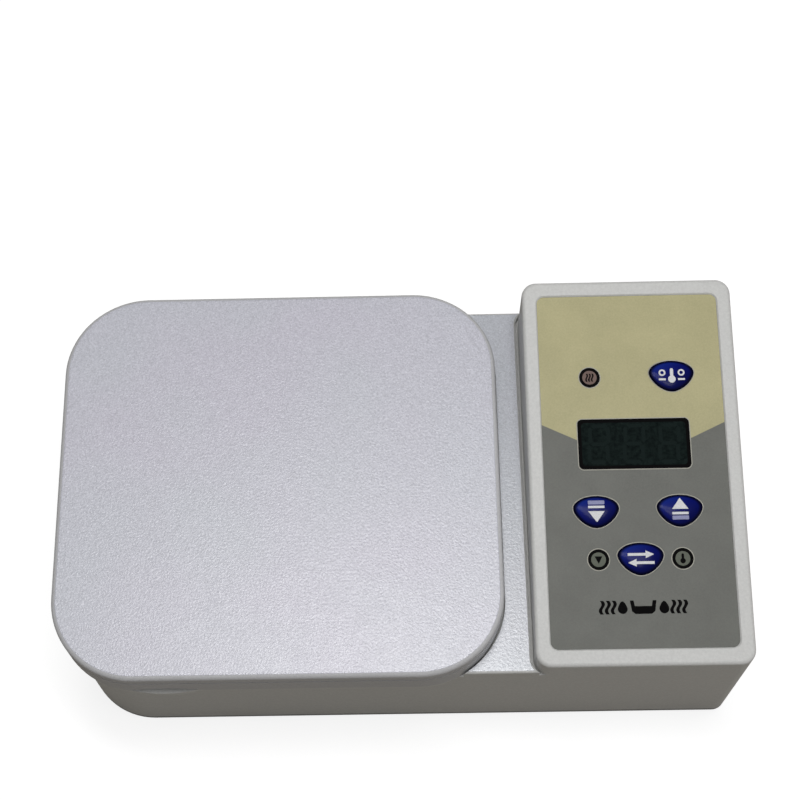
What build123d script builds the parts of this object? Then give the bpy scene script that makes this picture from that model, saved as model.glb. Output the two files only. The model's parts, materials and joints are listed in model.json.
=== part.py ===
from build123d import *
import math
import os

# A small electric wax bath: a moulded case carries a heated aluminium tank under a
# lift-off lid, and a raised control tower with a sloping keypad beside it.
#
# Frame: +X towards the control tower, +Y to the rear, +Z up. The origin is the centre of
# the footprint, on the surface that the feet stand on. All dimensions are millimetres.

# ---------------------------------------------------------------- driving dimensions

# case
body_left = -101.4
body_right = 103.6
body_depth = 118.0
body_corner = 22.0
wall = 2.5
deck_z = 53.6
deck_edge = 0.8
foot_height = 2.0
plate_thickness = 2.4
seam_edge = 0.35

# control tower
tower_width = 64.3
tower_corner = 4.5
tower_front_z = 59.95
tower_rise = 15.0
tower_edge = 1.2
roof = 2.6
groove_width = 0.9
groove_depth = 3.0
groove_bevel = 0.5

# lid and the ledge it stands on
lid_length = 134.5
lid_depth = 123.8
lid_corner = 25.5
lid_top_z = 63.0
lid_edge = 1.6
lid_wall = 2.2
lid_rim_height = 4.1
lid_groove_height = 0.9
lid_groove_depth = 0.45
ledge_z = 50.3
lip_inset = 0.35
lip_height = 2.0
lip_edge = 0.2
seat_gap = 0.6
notch_length = 25.0
notch_height = 2.6
notch_offset = -34.0
tab_length = 28.0
tab_reach = 0.9
tab_root = 1.3

# tank
tank_length = 116.0
tank_depth = 105.0
tank_corner = 17.0
tank_wall = 1.2
tank_floor_z = 16.0
tank_floor_radius = 8.0
flange_length = 123.0
flange_depth = 112.0
flange_thickness = 1.2
gasket_thickness = 0.8
gasket_gap = 0.3
stud_radius = 1.45
stud_length = 6.0

# control panel, measured on the slope
overlay_length = 109.0
overlay_width = 55.3
overlay_corner = 2.3
overlay_thickness = 0.5
recess_depth = 0.9
bezel_chamfer = 0.4
part_gap = 0.1
key_width = 13.4
key_height = 9.5
key_stand = 0.45
key_gap = 0.15
key_skirt = 0.8
key_shoulder = 0.23
key_top_fullness = 0.55
key_side_fullness = 0.24
key_foot_fullness = 0.46
window_width = 33.15
window_height = 15.0
window_corner = 1.15
window_ledge = 1.0
key_column = 12.45
window_row = 7.3
unit_row = 28.3
arrow_row = -13.6
mode_row = -28.0

# fasteners
screw_radius = 1.4
pilot_gap = 0.05
hole_gap = 0.2
head_radius = 2.8
head_depth = 1.5
slot_width = 0.7
nut_across = 5.5
nut_height = 2.4

# small radii and sheet metal
soft_edge = 1.0
component_edge = 0.6
sheet_thickness = 0.8

# ---------------------------------------------------------------- derived dimensions

# how far a cut or a join reaches past the face that it meets
overlap = 0.01
case_base_z = foot_height + plate_thickness
body_length = body_right - body_left
body_x = (body_left + body_right) / 2
tower_left = body_right - tower_width
tower_x = body_right - tower_width / 2
lid_left = -body_right
lid_x = lid_left + lid_length / 2
rear_y = body_depth / 2
tower_angle = math.atan(tower_rise / body_depth)
ledge_underside = ledge_z - wall
pilot_radius = screw_radius + pilot_gap
lid_centre = (lid_x, 0)
tower_centre = (tower_x, 0)
flange_corner = tank_corner + (flange_length - tank_length) / 2

# plans over the tank: length, depth and corner radius
lid_plan = (lid_length, lid_depth, lid_corner)
tank_plan = (tank_length, tank_depth, tank_corner)
flange_plan = (flange_length, flange_depth, flange_corner)

# The panel plane is the tower's sloping top: its x runs to the right, its y up the slope,
# and a height on it is a distance along its outward normal.
panel = Plane(
    origin=(tower_x, 0, tower_front_z + tower_rise / 2),
    x_dir=(1, 0, 0),
    z_dir=(0, -math.sin(tower_angle), math.cos(tower_angle)),
)
panel_axis = Axis(panel.origin, panel.z_dir)
overlay_top = -(recess_depth - overlay_thickness)
module_thickness = 8.0
module_top = -(roof + 0.2)
board_top = module_top - module_thickness
board_thickness = 1.6
board_bottom = board_top - board_thickness

key_places = {
    "unit": (key_column, unit_row),
    "down": (-key_column, arrow_row),
    "up": (key_column, arrow_row),
    "mode": (0, mode_row),
}
led_places = {
    "heat": (-key_column, unit_row),
    "set": (-key_column, mode_row),
    "actual": (key_column, mode_row),
}

os.makedirs("parts", exist_ok=True)


def save(builder, name):
    """Label a finished piece and write it as one STEP file."""
    builder.part.label = name
    export_step(builder.part, f"parts/{name}.step")


# ---------------------------------------------------------------- shared outlines


def key_outline(margin):
    """Shield-shaped key: a shallow top arc over a deeper, narrower lower arc."""
    half_width = key_width / 2 + margin
    half_height = key_height / 2 + margin
    shoulder = key_shoulder * half_height
    with BuildSketch() as outline:
        with BuildLine():
            Bezier(
                (0, half_height),
                (key_top_fullness * half_width, half_height),
                (half_width, shoulder + key_top_fullness * (half_height - shoulder)),
                (half_width, shoulder),
            )
            Bezier(
                (half_width, shoulder),
                (half_width, -key_side_fullness * half_height),
                (key_foot_fullness * half_width, -half_height),
                (0, -half_height),
            )
            mirror(about=Plane.YZ)
        make_face()
    return outline.sketch


def rounded_block(plane, height, length, depth, corner, centre=(0, 0)):
    """Upright block with rounded plan corners, standing on a plane."""
    with BuildPart() as block:
        with BuildSketch(plane):
            with Locations(centre):
                RectangleRounded(length, depth, corner)
        extrude(amount=height)
    return block


def bath_outline(plan, margin=0.0, mode=Mode.ADD):
    """Rounded rectangle over the tank, with every side moved outwards by a margin."""
    length, depth, corner = plan
    with Locations(lid_centre):
        RectangleRounded(length + 2 * margin, depth + 2 * margin, corner + margin, mode=mode)


def body_outline(sketch, inset=0.0):
    """Outline of the case: wide corners at the tank end, tight ones at the tower."""
    with Locations((body_x, 0)):
        Rectangle(body_length - 2 * inset, body_depth - 2 * inset)
    fillet(sketch.vertices().group_by(Axis.X)[0], body_corner - inset)
    fillet(sketch.vertices().group_by(Axis.X)[-1], tower_corner - inset)


def tower_outline(margin):
    """Outline of the tower's foot, with every side moved outwards by a margin."""
    with Locations(tower_centre):
        RectangleRounded(
            tower_width + 2 * margin, body_depth + 2 * margin, tower_corner + margin
        )


def round_lead(points, radius):
    """Round insulated lead along a smooth path through the points."""
    with BuildPart() as lead:
        with BuildLine() as path:
            Spline(*points)
        with BuildSketch(Plane(origin=path.line @ 0, z_dir=path.line % 0)):
            Circle(radius)
        sweep(path=path.line)
    return lead.part


key_shape = key_outline(0)
key_hole = key_outline(key_gap)
key_flange_shape = key_outline(key_skirt)

# ---------------------------------------------------------------- upper case

tower_shell = rounded_block(
    Plane.XY.offset(case_base_z),
    tower_front_z + tower_rise,
    tower_width,
    body_depth,
    tower_corner,
    tower_centre,
)
with tower_shell:
    split(bisect_by=panel, keep=Keep.BOTTOM)
    fillet(tower_shell.faces().sort_by(Axis.Z)[-1].edges(), tower_edge)

tower_core = rounded_block(
    Plane.XY.offset(case_base_z),
    tower_front_z + tower_rise,
    tower_width - 2 * wall,
    body_depth - 2 * wall,
    tower_corner - wall,
    tower_centre,
)
with tower_core:
    split(bisect_by=panel.offset(-roof), keep=Keep.BOTTOM)

# The deck has a pocket that the foot of the tower stands in. The pocket is wider than the
# tower, which leaves a bevelled groove between the two.
with BuildPart() as deck_block:
    with BuildSketch(Plane.XY.offset(case_base_z)) as deck_outline:
        body_outline(deck_outline)
    extrude(amount=deck_z - case_base_z)
    fillet(deck_block.faces().sort_by(Axis.Z)[-1].edges(), deck_edge)
    with BuildSketch(Plane.XY.offset(deck_z)):
        tower_outline(groove_width + groove_bevel)
    with BuildSketch(Plane.XY.offset(deck_z - groove_bevel)):
        tower_outline(groove_width)
    loft(mode=Mode.SUBTRACT)
    with BuildSketch(Plane.XY.offset(deck_z - groove_depth)):
        tower_outline(groove_width)
    extrude(amount=groove_depth, mode=Mode.SUBTRACT)

with BuildPart() as deck_core:
    with BuildSketch(Plane.XY.offset(case_base_z)) as core_outline:
        body_outline(core_outline, wall)
    extrude(amount=ledge_underside - case_base_z)

# lip under the lid, with a slim lifting tab for the fingers at the front and at the rear
with BuildPart() as drip_lip:
    with BuildSketch(Plane.XY.offset(ledge_z - lip_height)):
        bath_outline(lid_plan, -lip_inset)
    extrude(amount=lip_height)
    fillet(drip_lip.faces().sort_by(Axis.Z)[-1].edges(), lip_edge)
    with BuildSketch(Plane.XY.offset(ledge_z - lip_height)):
        for side in (-1, 1):
            with BuildLine():
                tab_y = side * (lid_depth / 2 - tab_root)
                tab_left = (lid_x + notch_offset - tab_length / 2, tab_y)
                tab_right = (lid_x + notch_offset + tab_length / 2, tab_y)
                tab_crest = (lid_x + notch_offset, side * (lid_depth / 2 + tab_reach))
                ThreePointArc(tab_left, tab_crest, tab_right)
                Line(tab_right, tab_left)
            make_face()
    extrude(amount=lip_height)

# screw bosses stand on the bottom plate and are tied to the front and rear walls by ribs
boss_radius = 3.2
boss_top = 14.0
boss_y = 49.5
boss_columns = (-75.0, 26.0, 95.5)
boss_places = [(x, side * boss_y) for x in boss_columns for side in (-1, 1)]
rib_thickness = 2.0
boss_roof = 2.0
rib_base = case_base_z + 3.2

# rear wall openings
inlet_z = 25.0
inlet_body_width = 27.6
inlet_body_height = 20.4
inlet_screw_spacing = 40.0
rocker_z = 50.0
rocker_body_width = 19.2
rocker_body_height = 12.8
rear_wall = Plane(origin=(tower_x, rear_y, 0), x_dir=(-1, 0, 0), z_dir=(0, 1, 0))

# display board bosses under the roof
board_hole_u = 21.5
board_hole_v = 48.0
board_boss_radius = 2.6
led_radius = 1.5

with BuildPart() as upper_case:
    add(tower_shell.part)
    add(deck_block.part)
    add(drip_lip.part)
    # seat for the lid: the deck is a step higher than the ledge round the tank
    with BuildSketch(Plane.XY.offset(ledge_z)):
        bath_outline(lid_plan, seat_gap)
    extrude(amount=deck_z - ledge_z, mode=Mode.SUBTRACT)
    # hollow inside
    add(deck_core.part, mode=Mode.SUBTRACT)
    add(tower_core.part, mode=Mode.SUBTRACT)
    # tank opening
    with BuildSketch(Plane.XY.offset(ledge_underside)):
        bath_outline(tank_plan, seat_gap)
    extrude(amount=wall, mode=Mode.SUBTRACT)
    # screw bosses and ribs
    with BuildSketch(Plane.XY.offset(case_base_z)):
        with Locations(boss_places):
            Circle(boss_radius)
    extrude(amount=boss_top - case_base_z)
    with BuildSketch(Plane.XY.offset(rib_base)):
        rib_reach = rear_y - wall - boss_y + overlap
        with Locations([(x, math.copysign(boss_y + rib_reach / 2, y)) for x, y in boss_places]):
            Rectangle(rib_thickness, rib_reach)
    extrude(amount=boss_top - rib_base)
    with BuildSketch(Plane.XY.offset(case_base_z)):
        with Locations(boss_places):
            Circle(pilot_radius)
    extrude(amount=boss_top - case_base_z - boss_roof, mode=Mode.SUBTRACT)
    # bosses for the display board
    with BuildSketch(panel.offset(board_top)):
        with GridLocations(2 * board_hole_u, 2 * board_hole_v, 2, 2):
            Circle(board_boss_radius)
    extrude(amount=-board_top - roof + overlap)
    with BuildSketch(panel.offset(board_top)):
        with GridLocations(2 * board_hole_u, 2 * board_hole_v, 2, 2):
            Circle(pilot_radius)
    extrude(amount=-board_top - roof, mode=Mode.SUBTRACT)
    # recess for the overlay, with a bevelled edge
    with BuildSketch(panel):
        RectangleRounded(
            overlay_width + 2 * bezel_chamfer,
            overlay_length + 2 * bezel_chamfer,
            overlay_corner + bezel_chamfer,
        )
    with BuildSketch(panel.offset(-bezel_chamfer)):
        RectangleRounded(overlay_width, overlay_length, overlay_corner)
    loft(mode=Mode.SUBTRACT)
    with BuildSketch(panel.offset(-bezel_chamfer)):
        RectangleRounded(overlay_width, overlay_length, overlay_corner)
    extrude(amount=bezel_chamfer - recess_depth, mode=Mode.SUBTRACT)
    # openings through the roof for keys, indicator lights and the display
    with BuildSketch(panel.offset(-recess_depth)):
        with Locations(list(key_places.values())):
            add(key_hole)
        with Locations(list(led_places.values())):
            Circle(led_radius + key_gap)
        with Locations((0, window_row)):
            RectangleRounded(
                window_width - 2 * window_ledge, window_height - 2 * window_ledge, window_corner
            )
    extrude(amount=recess_depth - roof - wall, mode=Mode.SUBTRACT)
    # rear wall openings for the inlet, its screws and the rocker switch
    with BuildSketch(rear_wall):
        with Locations((0, inlet_z)):
            Rectangle(inlet_body_width + 2 * hole_gap, inlet_body_height + 2 * hole_gap)
            with GridLocations(inlet_screw_spacing, 0, 2, 1):
                Circle(pilot_radius)
        with Locations((0, rocker_z)):
            Rectangle(rocker_body_width + 2 * hole_gap, rocker_body_height + 2 * hole_gap)
    extrude(amount=-wall, mode=Mode.SUBTRACT)
save(upper_case, "upper_case")

# ---------------------------------------------------------------- bottom plate and feet

plate_lip_height = 2.6
plate_lip_thickness = 1.6
plate_lip_gap = 0.2
vent_length = 22.0
vent_width = 2.4
vent_pitch = 6.0
vent_count = 7
foot_radius = 7.0
foot_recess = 0.6
foot_places = [(x, y) for x in (-76.0, 76.0) for y in (-34.0, 34.0)]

main_board_x = 69.0
main_board_y = -2.0
main_board_length = 54.0
main_board_depth = 86.0
main_board_z = 12.0
post_radius = 3.0
post_u = 23.0
post_v = 39.0
board_screw_length = 5.4

with BuildPart() as bottom_plate:
    with BuildSketch(Plane.XY.offset(foot_height)) as plate_outline:
        body_outline(plate_outline)
    extrude(amount=plate_thickness)
    fillet(bottom_plate.faces().sort_by(Axis.Z)[0].edges(), 2 * seam_edge)
    fillet(bottom_plate.faces().sort_by(Axis.Z)[-1].edges(), seam_edge)
    # locating lip inside the case wall
    with BuildSketch(Plane.XY.offset(case_base_z)) as plate_lip:
        body_outline(plate_lip, wall + plate_lip_gap)
        offset(amount=-plate_lip_thickness, mode=Mode.SUBTRACT)
    extrude(amount=plate_lip_height)
    # posts for the main board
    with BuildSketch(Plane.XY.offset(case_base_z)):
        with Locations((main_board_x, main_board_y)):
            with GridLocations(2 * post_u, 2 * post_v, 2, 2):
                Circle(post_radius)
    extrude(amount=main_board_z - case_base_z)
    with BuildSketch(Plane.XY.offset(case_base_z)):
        with Locations((main_board_x, main_board_y)):
            with GridLocations(2 * post_u, 2 * post_v, 2, 2):
                Circle(pilot_radius)
    extrude(amount=main_board_z - case_base_z, mode=Mode.SUBTRACT)
    # countersunk holes for the case screws
    with Locations(Plane.XY.offset(foot_height)):
        with Locations(Location((0, 0, 0), (180, 0, 0))):
            with Locations([(x, -y) for x, y in boss_places]):
                CounterSinkHole(screw_radius + hole_gap, head_radius + hole_gap, plate_thickness)
    # recesses for the feet
    with BuildSketch(Plane.XY.offset(foot_height)):
        with Locations(foot_places):
            Circle(foot_radius + hole_gap)
    extrude(amount=foot_recess, mode=Mode.SUBTRACT)
    # vents under the electronics
    with BuildSketch(Plane.XY.offset(foot_height)):
        with Locations((main_board_x - main_board_length / 2 + vent_length, 0)):
            with GridLocations(0, vent_pitch, 1, vent_count):
                SlotOverall(vent_length, vent_width)
    extrude(amount=plate_thickness, mode=Mode.SUBTRACT)
save(bottom_plate, "bottom_plate")

with BuildPart() as rubber_feet:
    with BuildSketch():
        with Locations(foot_places):
            Circle(foot_radius)
    extrude(amount=foot_height + foot_recess)
    fillet(rubber_feet.edges().group_by(Axis.Z)[0], foot_recess)
save(rubber_feet, "rubber_feet")


def countersunk_screw(length):
    """Screw along +Z with its flat head at the origin."""
    with BuildPart() as screw:
        with BuildSketch(Plane.XZ):
            with BuildLine():
                Polyline(
                    (0, 0),
                    (head_radius, 0),
                    (screw_radius, head_depth),
                    (screw_radius, length),
                    (0, length),
                    close=True,
                )
            make_face()
        revolve(axis=Axis.Z)
        with BuildSketch():
            Rectangle(0.8 * head_radius, slot_width)
            Rectangle(slot_width, 0.8 * head_radius)
        extrude(amount=head_depth / 2, mode=Mode.SUBTRACT)
    return screw.part


def pan_screw(length):
    """Screw with a domed head above the origin and its shank along -Z."""
    with BuildPart() as screw:
        with BuildSketch():
            Circle(head_radius)
        extrude(amount=head_depth)
        fillet(screw.edges().group_by(Axis.Z)[-1], head_depth / 2)
        with BuildSketch():
            Circle(screw_radius)
        extrude(amount=-length)
        with BuildSketch(Plane.XY.offset(head_depth)):
            Rectangle(head_radius, slot_width)
            Rectangle(slot_width, head_radius)
        extrude(amount=-head_depth / 2, mode=Mode.SUBTRACT)
    return screw.part


def hex_nut():
    """Nut standing on the origin, with a clear bore for a welded stud."""
    with BuildPart() as nut:
        with BuildSketch():
            RegularPolygon(nut_across / 2, 6, major_radius=False)
            Circle(stud_radius + pilot_gap, mode=Mode.SUBTRACT)
        extrude(amount=nut_height)
    return nut.part


case_screw_shape = countersunk_screw(boss_top - foot_height - 2 * boss_roof)
with BuildPart() as case_screws:
    with Locations([(x, y, foot_height) for x, y in boss_places]):
        add(case_screw_shape)
save(case_screws, "case_screws")

# ---------------------------------------------------------------- lid

rib_gap = 0.5
rib_depth = 3.0
tank_flange_z = ledge_z + gasket_thickness
mouth_z = tank_flange_z + flange_thickness
lid_roof_z = lid_top_z - lid_wall
lid_groove_z = lid_top_z - lid_rim_height - lid_groove_height

with BuildPart() as lid:
    with BuildSketch(Plane.XY.offset(ledge_z)):
        bath_outline(lid_plan)
    extrude(amount=lid_top_z - ledge_z)
    fillet(lid.faces().sort_by(Axis.Z)[-1].edges(), lid_edge)
    fillet(lid.faces().sort_by(Axis.Z)[0].edges(), seam_edge)
    # hollow underside
    with BuildSketch(Plane.XY.offset(ledge_z)):
        bath_outline(lid_plan, -lid_wall)
    extrude(amount=lid_roof_z - ledge_z, mode=Mode.SUBTRACT)
    # shadow groove round the rim
    with BuildSketch(Plane.XY.offset(lid_groove_z)):
        bath_outline(lid_plan)
        bath_outline(lid_plan, -lid_groove_depth, Mode.SUBTRACT)
    extrude(amount=lid_groove_height, mode=Mode.SUBTRACT)
    # lens-shaped finger notches in the lower edge of the skirt, over the lifting tabs
    with BuildSketch(Plane.XZ):
        with BuildLine():
            notch_x = lid_x + notch_offset
            notch_start = (notch_x - notch_length / 2, ledge_z)
            notch_end = (notch_x + notch_length / 2, ledge_z)
            ThreePointArc(notch_start, (notch_x, ledge_z + notch_height), notch_end)
            Line(notch_end, notch_start)
        make_face()
    extrude(amount=lid_depth / 2, both=True, mode=Mode.SUBTRACT)
    # locating rib that drops into the mouth of the tank
    with BuildSketch(Plane.XY.offset(mouth_z - rib_depth)):
        bath_outline(tank_plan, -tank_wall - rib_gap)
        bath_outline(tank_plan, -tank_wall - rib_gap - lid_wall, Mode.SUBTRACT)
    extrude(amount=lid_roof_z - mouth_z + rib_depth)
save(lid, "lid")

# ---------------------------------------------------------------- tank and heater

floor_stud_places = [(lid_x + x, y) for x in (-38.0, 38.0) for y in (-32.0, 32.0)]
side_x = lid_x + tank_length / 2
sensor_y = -14.0
cutout_y = 14.0
cutout_spacing = 24.0
side_z = 34.0
clip_spacing = 13.0
earth_y = -36.0
side_wall = Plane(origin=(side_x, 0, 0), x_dir=(0, 1, 0), z_dir=(1, 0, 0))
side_stud_places = [
    (cutout_y - cutout_spacing / 2, side_z),
    (cutout_y + cutout_spacing / 2, side_z),
    (sensor_y, side_z - clip_spacing / 2),
    (sensor_y, side_z + clip_spacing / 2),
    (earth_y, side_z),
]

with BuildPart() as tank_cavity:
    with BuildSketch(Plane.XY.offset(tank_floor_z + tank_wall)):
        bath_outline(tank_plan, -tank_wall)
    extrude(amount=mouth_z - tank_floor_z - tank_wall)
    fillet(tank_cavity.edges().group_by(Axis.Z)[0], tank_floor_radius - tank_wall)

with BuildPart() as tank:
    with BuildSketch(Plane.XY.offset(tank_floor_z)):
        bath_outline(tank_plan)
    extrude(amount=mouth_z - tank_floor_z)
    fillet(tank.edges().group_by(Axis.Z)[0], tank_floor_radius)
    with BuildSketch(Plane.XY.offset(tank_flange_z)):
        bath_outline(flange_plan)
    extrude(amount=flange_thickness)
    add(tank_cavity.part, mode=Mode.SUBTRACT)
    # welded studs under the floor and on the tower side
    with BuildSketch(Plane.XY.offset(tank_floor_z)):
        with Locations(floor_stud_places):
            Circle(stud_radius)
    extrude(amount=-stud_length)
    with BuildSketch(side_wall):
        with Locations(side_stud_places):
            Circle(stud_radius)
    extrude(amount=stud_length)
save(tank, "tank")

with BuildPart() as tank_gasket:
    with BuildSketch(Plane.XY.offset(ledge_z)):
        bath_outline(flange_plan)
        bath_outline(tank_plan, gasket_gap, Mode.SUBTRACT)
    extrude(amount=gasket_thickness)
save(tank_gasket, "tank_gasket")

heater_length = 92.0
heater_depth = 78.0
heater_corner = 6.0
heater_plan = (heater_length, heater_depth, heater_corner)
heater_thickness = 1.5
clamp_margin = 1.0
clamp_thickness = 1.0
stud_hole = stud_radius + hole_gap
heater_top = tank_floor_z
clamp_top = heater_top - heater_thickness
clamp_bottom = clamp_top - clamp_thickness

with BuildPart() as heater_pad:
    with BuildSketch(Plane.XY.offset(heater_top)):
        bath_outline(heater_plan)
        with Locations(floor_stud_places):
            Circle(stud_hole, mode=Mode.SUBTRACT)
    extrude(amount=-heater_thickness)
save(heater_pad, "heater_pad")

with BuildPart() as heater_clamp_plate:
    with BuildSketch(Plane.XY.offset(clamp_top)):
        bath_outline(heater_plan, clamp_margin)
        with Locations(lid_centre):
            with GridLocations(heater_length / 4, 0, 3, 1):
                SlotOverall(heater_depth / 2, heater_corner, rotation=90, mode=Mode.SUBTRACT)
        with Locations(floor_stud_places):
            Circle(stud_hole, mode=Mode.SUBTRACT)
    extrude(amount=-clamp_thickness)
save(heater_clamp_plate, "heater_clamp_plate")

nut_shape = hex_nut()
with BuildPart() as heater_nuts:
    with Locations([(x, y, clamp_bottom - nut_height) for x, y in floor_stud_places]):
        add(nut_shape)
save(heater_nuts, "heater_nuts")

# fibre pad on the floor of the case, and a fibre wrap round three sides of the tank
pad_top = tank_floor_z - stud_length - soft_edge
with BuildPart() as insulation_pad:
    with BuildSketch(Plane.XY.offset(case_base_z)):
        bath_outline(heater_plan)
    extrude(amount=pad_top - case_base_z)
    fillet(insulation_pad.edges().group_by(Axis.Z)[-1], soft_edge)
save(insulation_pad, "insulation_pad")

wrap_thickness = 2.6
wrap_base = 18.0
wrap_top = ledge_underside - soft_edge
wrap_gap = 0.2
wrap_right = 14.0
with BuildPart() as insulation_wrap:
    with BuildSketch(Plane.XY.offset(wrap_base)):
        bath_outline(tank_plan, wrap_gap + wrap_thickness)
        bath_outline(tank_plan, wrap_gap, Mode.SUBTRACT)
        with Locations((wrap_right, 0)):
            Rectangle(
                tank_length, body_depth, align=(Align.MIN, Align.CENTER), mode=Mode.SUBTRACT
            )
    extrude(amount=wrap_top - wrap_base)
save(insulation_wrap, "insulation_wrap")

# ---------------------------------------------------------------- sensing on the tank wall

cutout_radius = 8.0
cutout_cap = 3.0
cutout_body = 6.0
sensor_radius = 2.0
sensor_length = 16.0
clip_width = 6.0

with BuildPart() as thermal_cutout:
    with BuildSketch(side_wall):
        with Locations((cutout_y, side_z)):
            Circle(cutout_radius)
    extrude(amount=cutout_cap)
    with BuildSketch(side_wall):
        with Locations((cutout_y, side_z)):
            SlotCenterToCenter(cutout_spacing, nut_across + soft_edge)
            with GridLocations(cutout_spacing, 0, 2, 1):
                Circle(stud_hole, mode=Mode.SUBTRACT)
    extrude(amount=sheet_thickness)
    with BuildSketch(side_wall.offset(cutout_cap)):
        with Locations((cutout_y, side_z)):
            Circle(cutout_radius - soft_edge)
    extrude(amount=cutout_body)
    fillet(thermal_cutout.edges().group_by(Axis.X)[-1], sheet_thickness)
save(thermal_cutout, "thermal_cutout")

sensor_plane = Plane(origin=(side_x, sensor_y, side_z), x_dir=(1, 0, 0), z_dir=(0, -1, 0))
with BuildPart() as temperature_sensor:
    with BuildSketch(sensor_plane):
        with Locations((sensor_radius, 0)):
            Circle(sensor_radius)
    extrude(amount=sensor_length / 2, both=True)
    fillet(temperature_sensor.edges().group_by(Axis.Y)[0], soft_edge)
save(temperature_sensor, "temperature_sensor")

# strap with a tab above and below the sensor, held by two studs
strap_reach = (clip_spacing + nut_across) / 2 + soft_edge
with BuildPart() as sensor_clip:
    with BuildSketch(sensor_plane):
        Rectangle(sheet_thickness, 2 * strap_reach, align=(Align.MIN, Align.CENTER))
        with Locations((sensor_radius, 0)):
            Circle(sensor_radius + sheet_thickness)
        Rectangle(
            sheet_thickness,
            2 * sensor_radius,
            align=(Align.MAX, Align.CENTER),
            mode=Mode.SUBTRACT,
        )
        with Locations((sensor_radius, 0)):
            Circle(sensor_radius + pilot_gap, mode=Mode.SUBTRACT)
        Rectangle(
            sensor_radius,
            2 * sensor_radius + 2 * pilot_gap,
            align=(Align.MIN, Align.CENTER),
            mode=Mode.SUBTRACT,
        )
    extrude(amount=clip_width / 2, both=True)
    with BuildSketch(side_wall):
        with Locations((sensor_y, side_z)):
            with GridLocations(0, clip_spacing, 1, 2):
                Circle(stud_hole)
    extrude(amount=sheet_thickness, mode=Mode.SUBTRACT)
save(sensor_clip, "sensor_clip")

lug_outer = 3.6
lug_tail = 9.0
lug_width = 2.0
with BuildPart() as earth_lug:
    with BuildSketch(side_wall):
        with Locations((earth_y, side_z)):
            Circle(lug_outer)
            Rectangle(lug_width, lug_tail, align=(Align.CENTER, Align.MAX))
            Circle(stud_hole, mode=Mode.SUBTRACT)
    extrude(amount=sheet_thickness)
save(earth_lug, "earth_lug")

with BuildPart(side_wall.offset(sheet_thickness)) as side_nuts:
    with Locations(side_stud_places):
        add(nut_shape)
save(side_nuts, "side_nuts")

# ---------------------------------------------------------------- main board

board_top_z = main_board_z + board_thickness
transformer_x = 60.0
transformer_y = 17.0
core_width = 34.0
core_height = 28.0
core_depth = 13.0
core_limb = 5.6
coil_gap = 0.3
relay_place = (86.0, 24.0)
relay_size = (15.5, 19.0, 15.8)
terminal_place = (66.0, -37.0)
terminal_size = (30.0, 9.0, 10.0)
terminal_count = 6
capacitor_place = (85.0, 3.0)
capacitor_radius = 5.0
capacitor_height = 20.0
fuse_place = (49.0, -16.0)
fuse_radius = 2.6
fuse_length = 20.0
fuse_z = board_top_z + 5.0
cap_length = 5.0
chip_place = (68.0, -16.0)
chip_size = (7.6, 18.0, 2.4)
header_x = 86.0
header_y = -26.0
header_size = (14.0, 6.0, 8.0)


def box_on_board(place, size):
    """Component body with eased upper edges, standing on the main board."""
    with BuildPart() as body:
        with BuildSketch(Plane.XY.offset(board_top_z)):
            with Locations(place):
                Rectangle(size[0], size[1])
        extrude(amount=size[2])
        fillet(body.faces().sort_by(Axis.Z)[-1].edges(), component_edge)
    return body


with BuildPart() as main_board:
    with BuildSketch(Plane.XY.offset(main_board_z)):
        with Locations((main_board_x, main_board_y)):
            RectangleRounded(main_board_length, main_board_depth, soft_edge)
            with GridLocations(2 * post_u, 2 * post_v, 2, 2):
                Circle(screw_radius + hole_gap, mode=Mode.SUBTRACT)
    extrude(amount=board_thickness)
save(main_board, "main_board")

board_screw_shape = pan_screw(board_screw_length)
with BuildPart(Plane.XY.offset(board_top_z)) as main_board_screws:
    with Locations((main_board_x, main_board_y)):
        with GridLocations(2 * post_u, 2 * post_v, 2, 2):
            add(board_screw_shape)
save(main_board_screws, "main_board_screws")

# laminated core with two windows, and the winding that fills them
window_span = (core_width - 3 * core_limb) / 2
window_rise = core_height - 2 * core_limb
transformer_plane = Plane(
    origin=(transformer_x, transformer_y, board_top_z + core_height / 2),
    x_dir=(1, 0, 0),
    z_dir=(0, -1, 0),
)
with BuildPart() as transformer_core:
    with BuildSketch(transformer_plane):
        Rectangle(core_width, core_height)
        with GridLocations(window_span + core_limb, 0, 2, 1):
            Rectangle(window_span, window_rise, mode=Mode.SUBTRACT)
    extrude(amount=core_depth / 2, both=True)
save(transformer_core, "transformer_core")

with BuildPart() as transformer_winding:
    coil_rise = window_rise - 2 * coil_gap
    coil_width = core_limb + 2 * window_span - 2 * coil_gap
    coil_depth = core_depth + 2 * window_span - 2 * coil_gap
    with BuildSketch(Plane.XY.offset(board_top_z + core_limb + coil_gap)):
        with Locations((transformer_x, transformer_y)):
            RectangleRounded(coil_width, coil_depth, window_span / 2)
            Rectangle(core_limb + 2 * coil_gap, core_depth + 2 * coil_gap, mode=Mode.SUBTRACT)
    extrude(amount=coil_rise)
save(transformer_winding, "transformer_winding")

heater_relay = box_on_board(relay_place, relay_size)
save(heater_relay, "heater_relay")

terminal_pitch = terminal_size[0] / terminal_count
with BuildPart() as terminal_block:
    add(box_on_board(terminal_place, terminal_size).part)
    with BuildSketch(Plane.XY.offset(board_top_z + terminal_size[2])):
        with Locations(terminal_place):
            with GridLocations(terminal_pitch, 0, terminal_count, 1):
                Circle(screw_radius + hole_gap)
    extrude(amount=-terminal_size[2] / 2, mode=Mode.SUBTRACT)
save(terminal_block, "terminal_block")

with BuildPart() as filter_capacitor:
    with BuildSketch(Plane.XY.offset(board_top_z)):
        with Locations(capacitor_place):
            Circle(capacitor_radius)
    extrude(amount=capacitor_height)
    fillet(filter_capacitor.edges().group_by(Axis.Z)[-1], component_edge)
save(filter_capacitor, "filter_capacitor")

control_chip = box_on_board(chip_place, chip_size)
save(control_chip, "control_chip")

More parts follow.
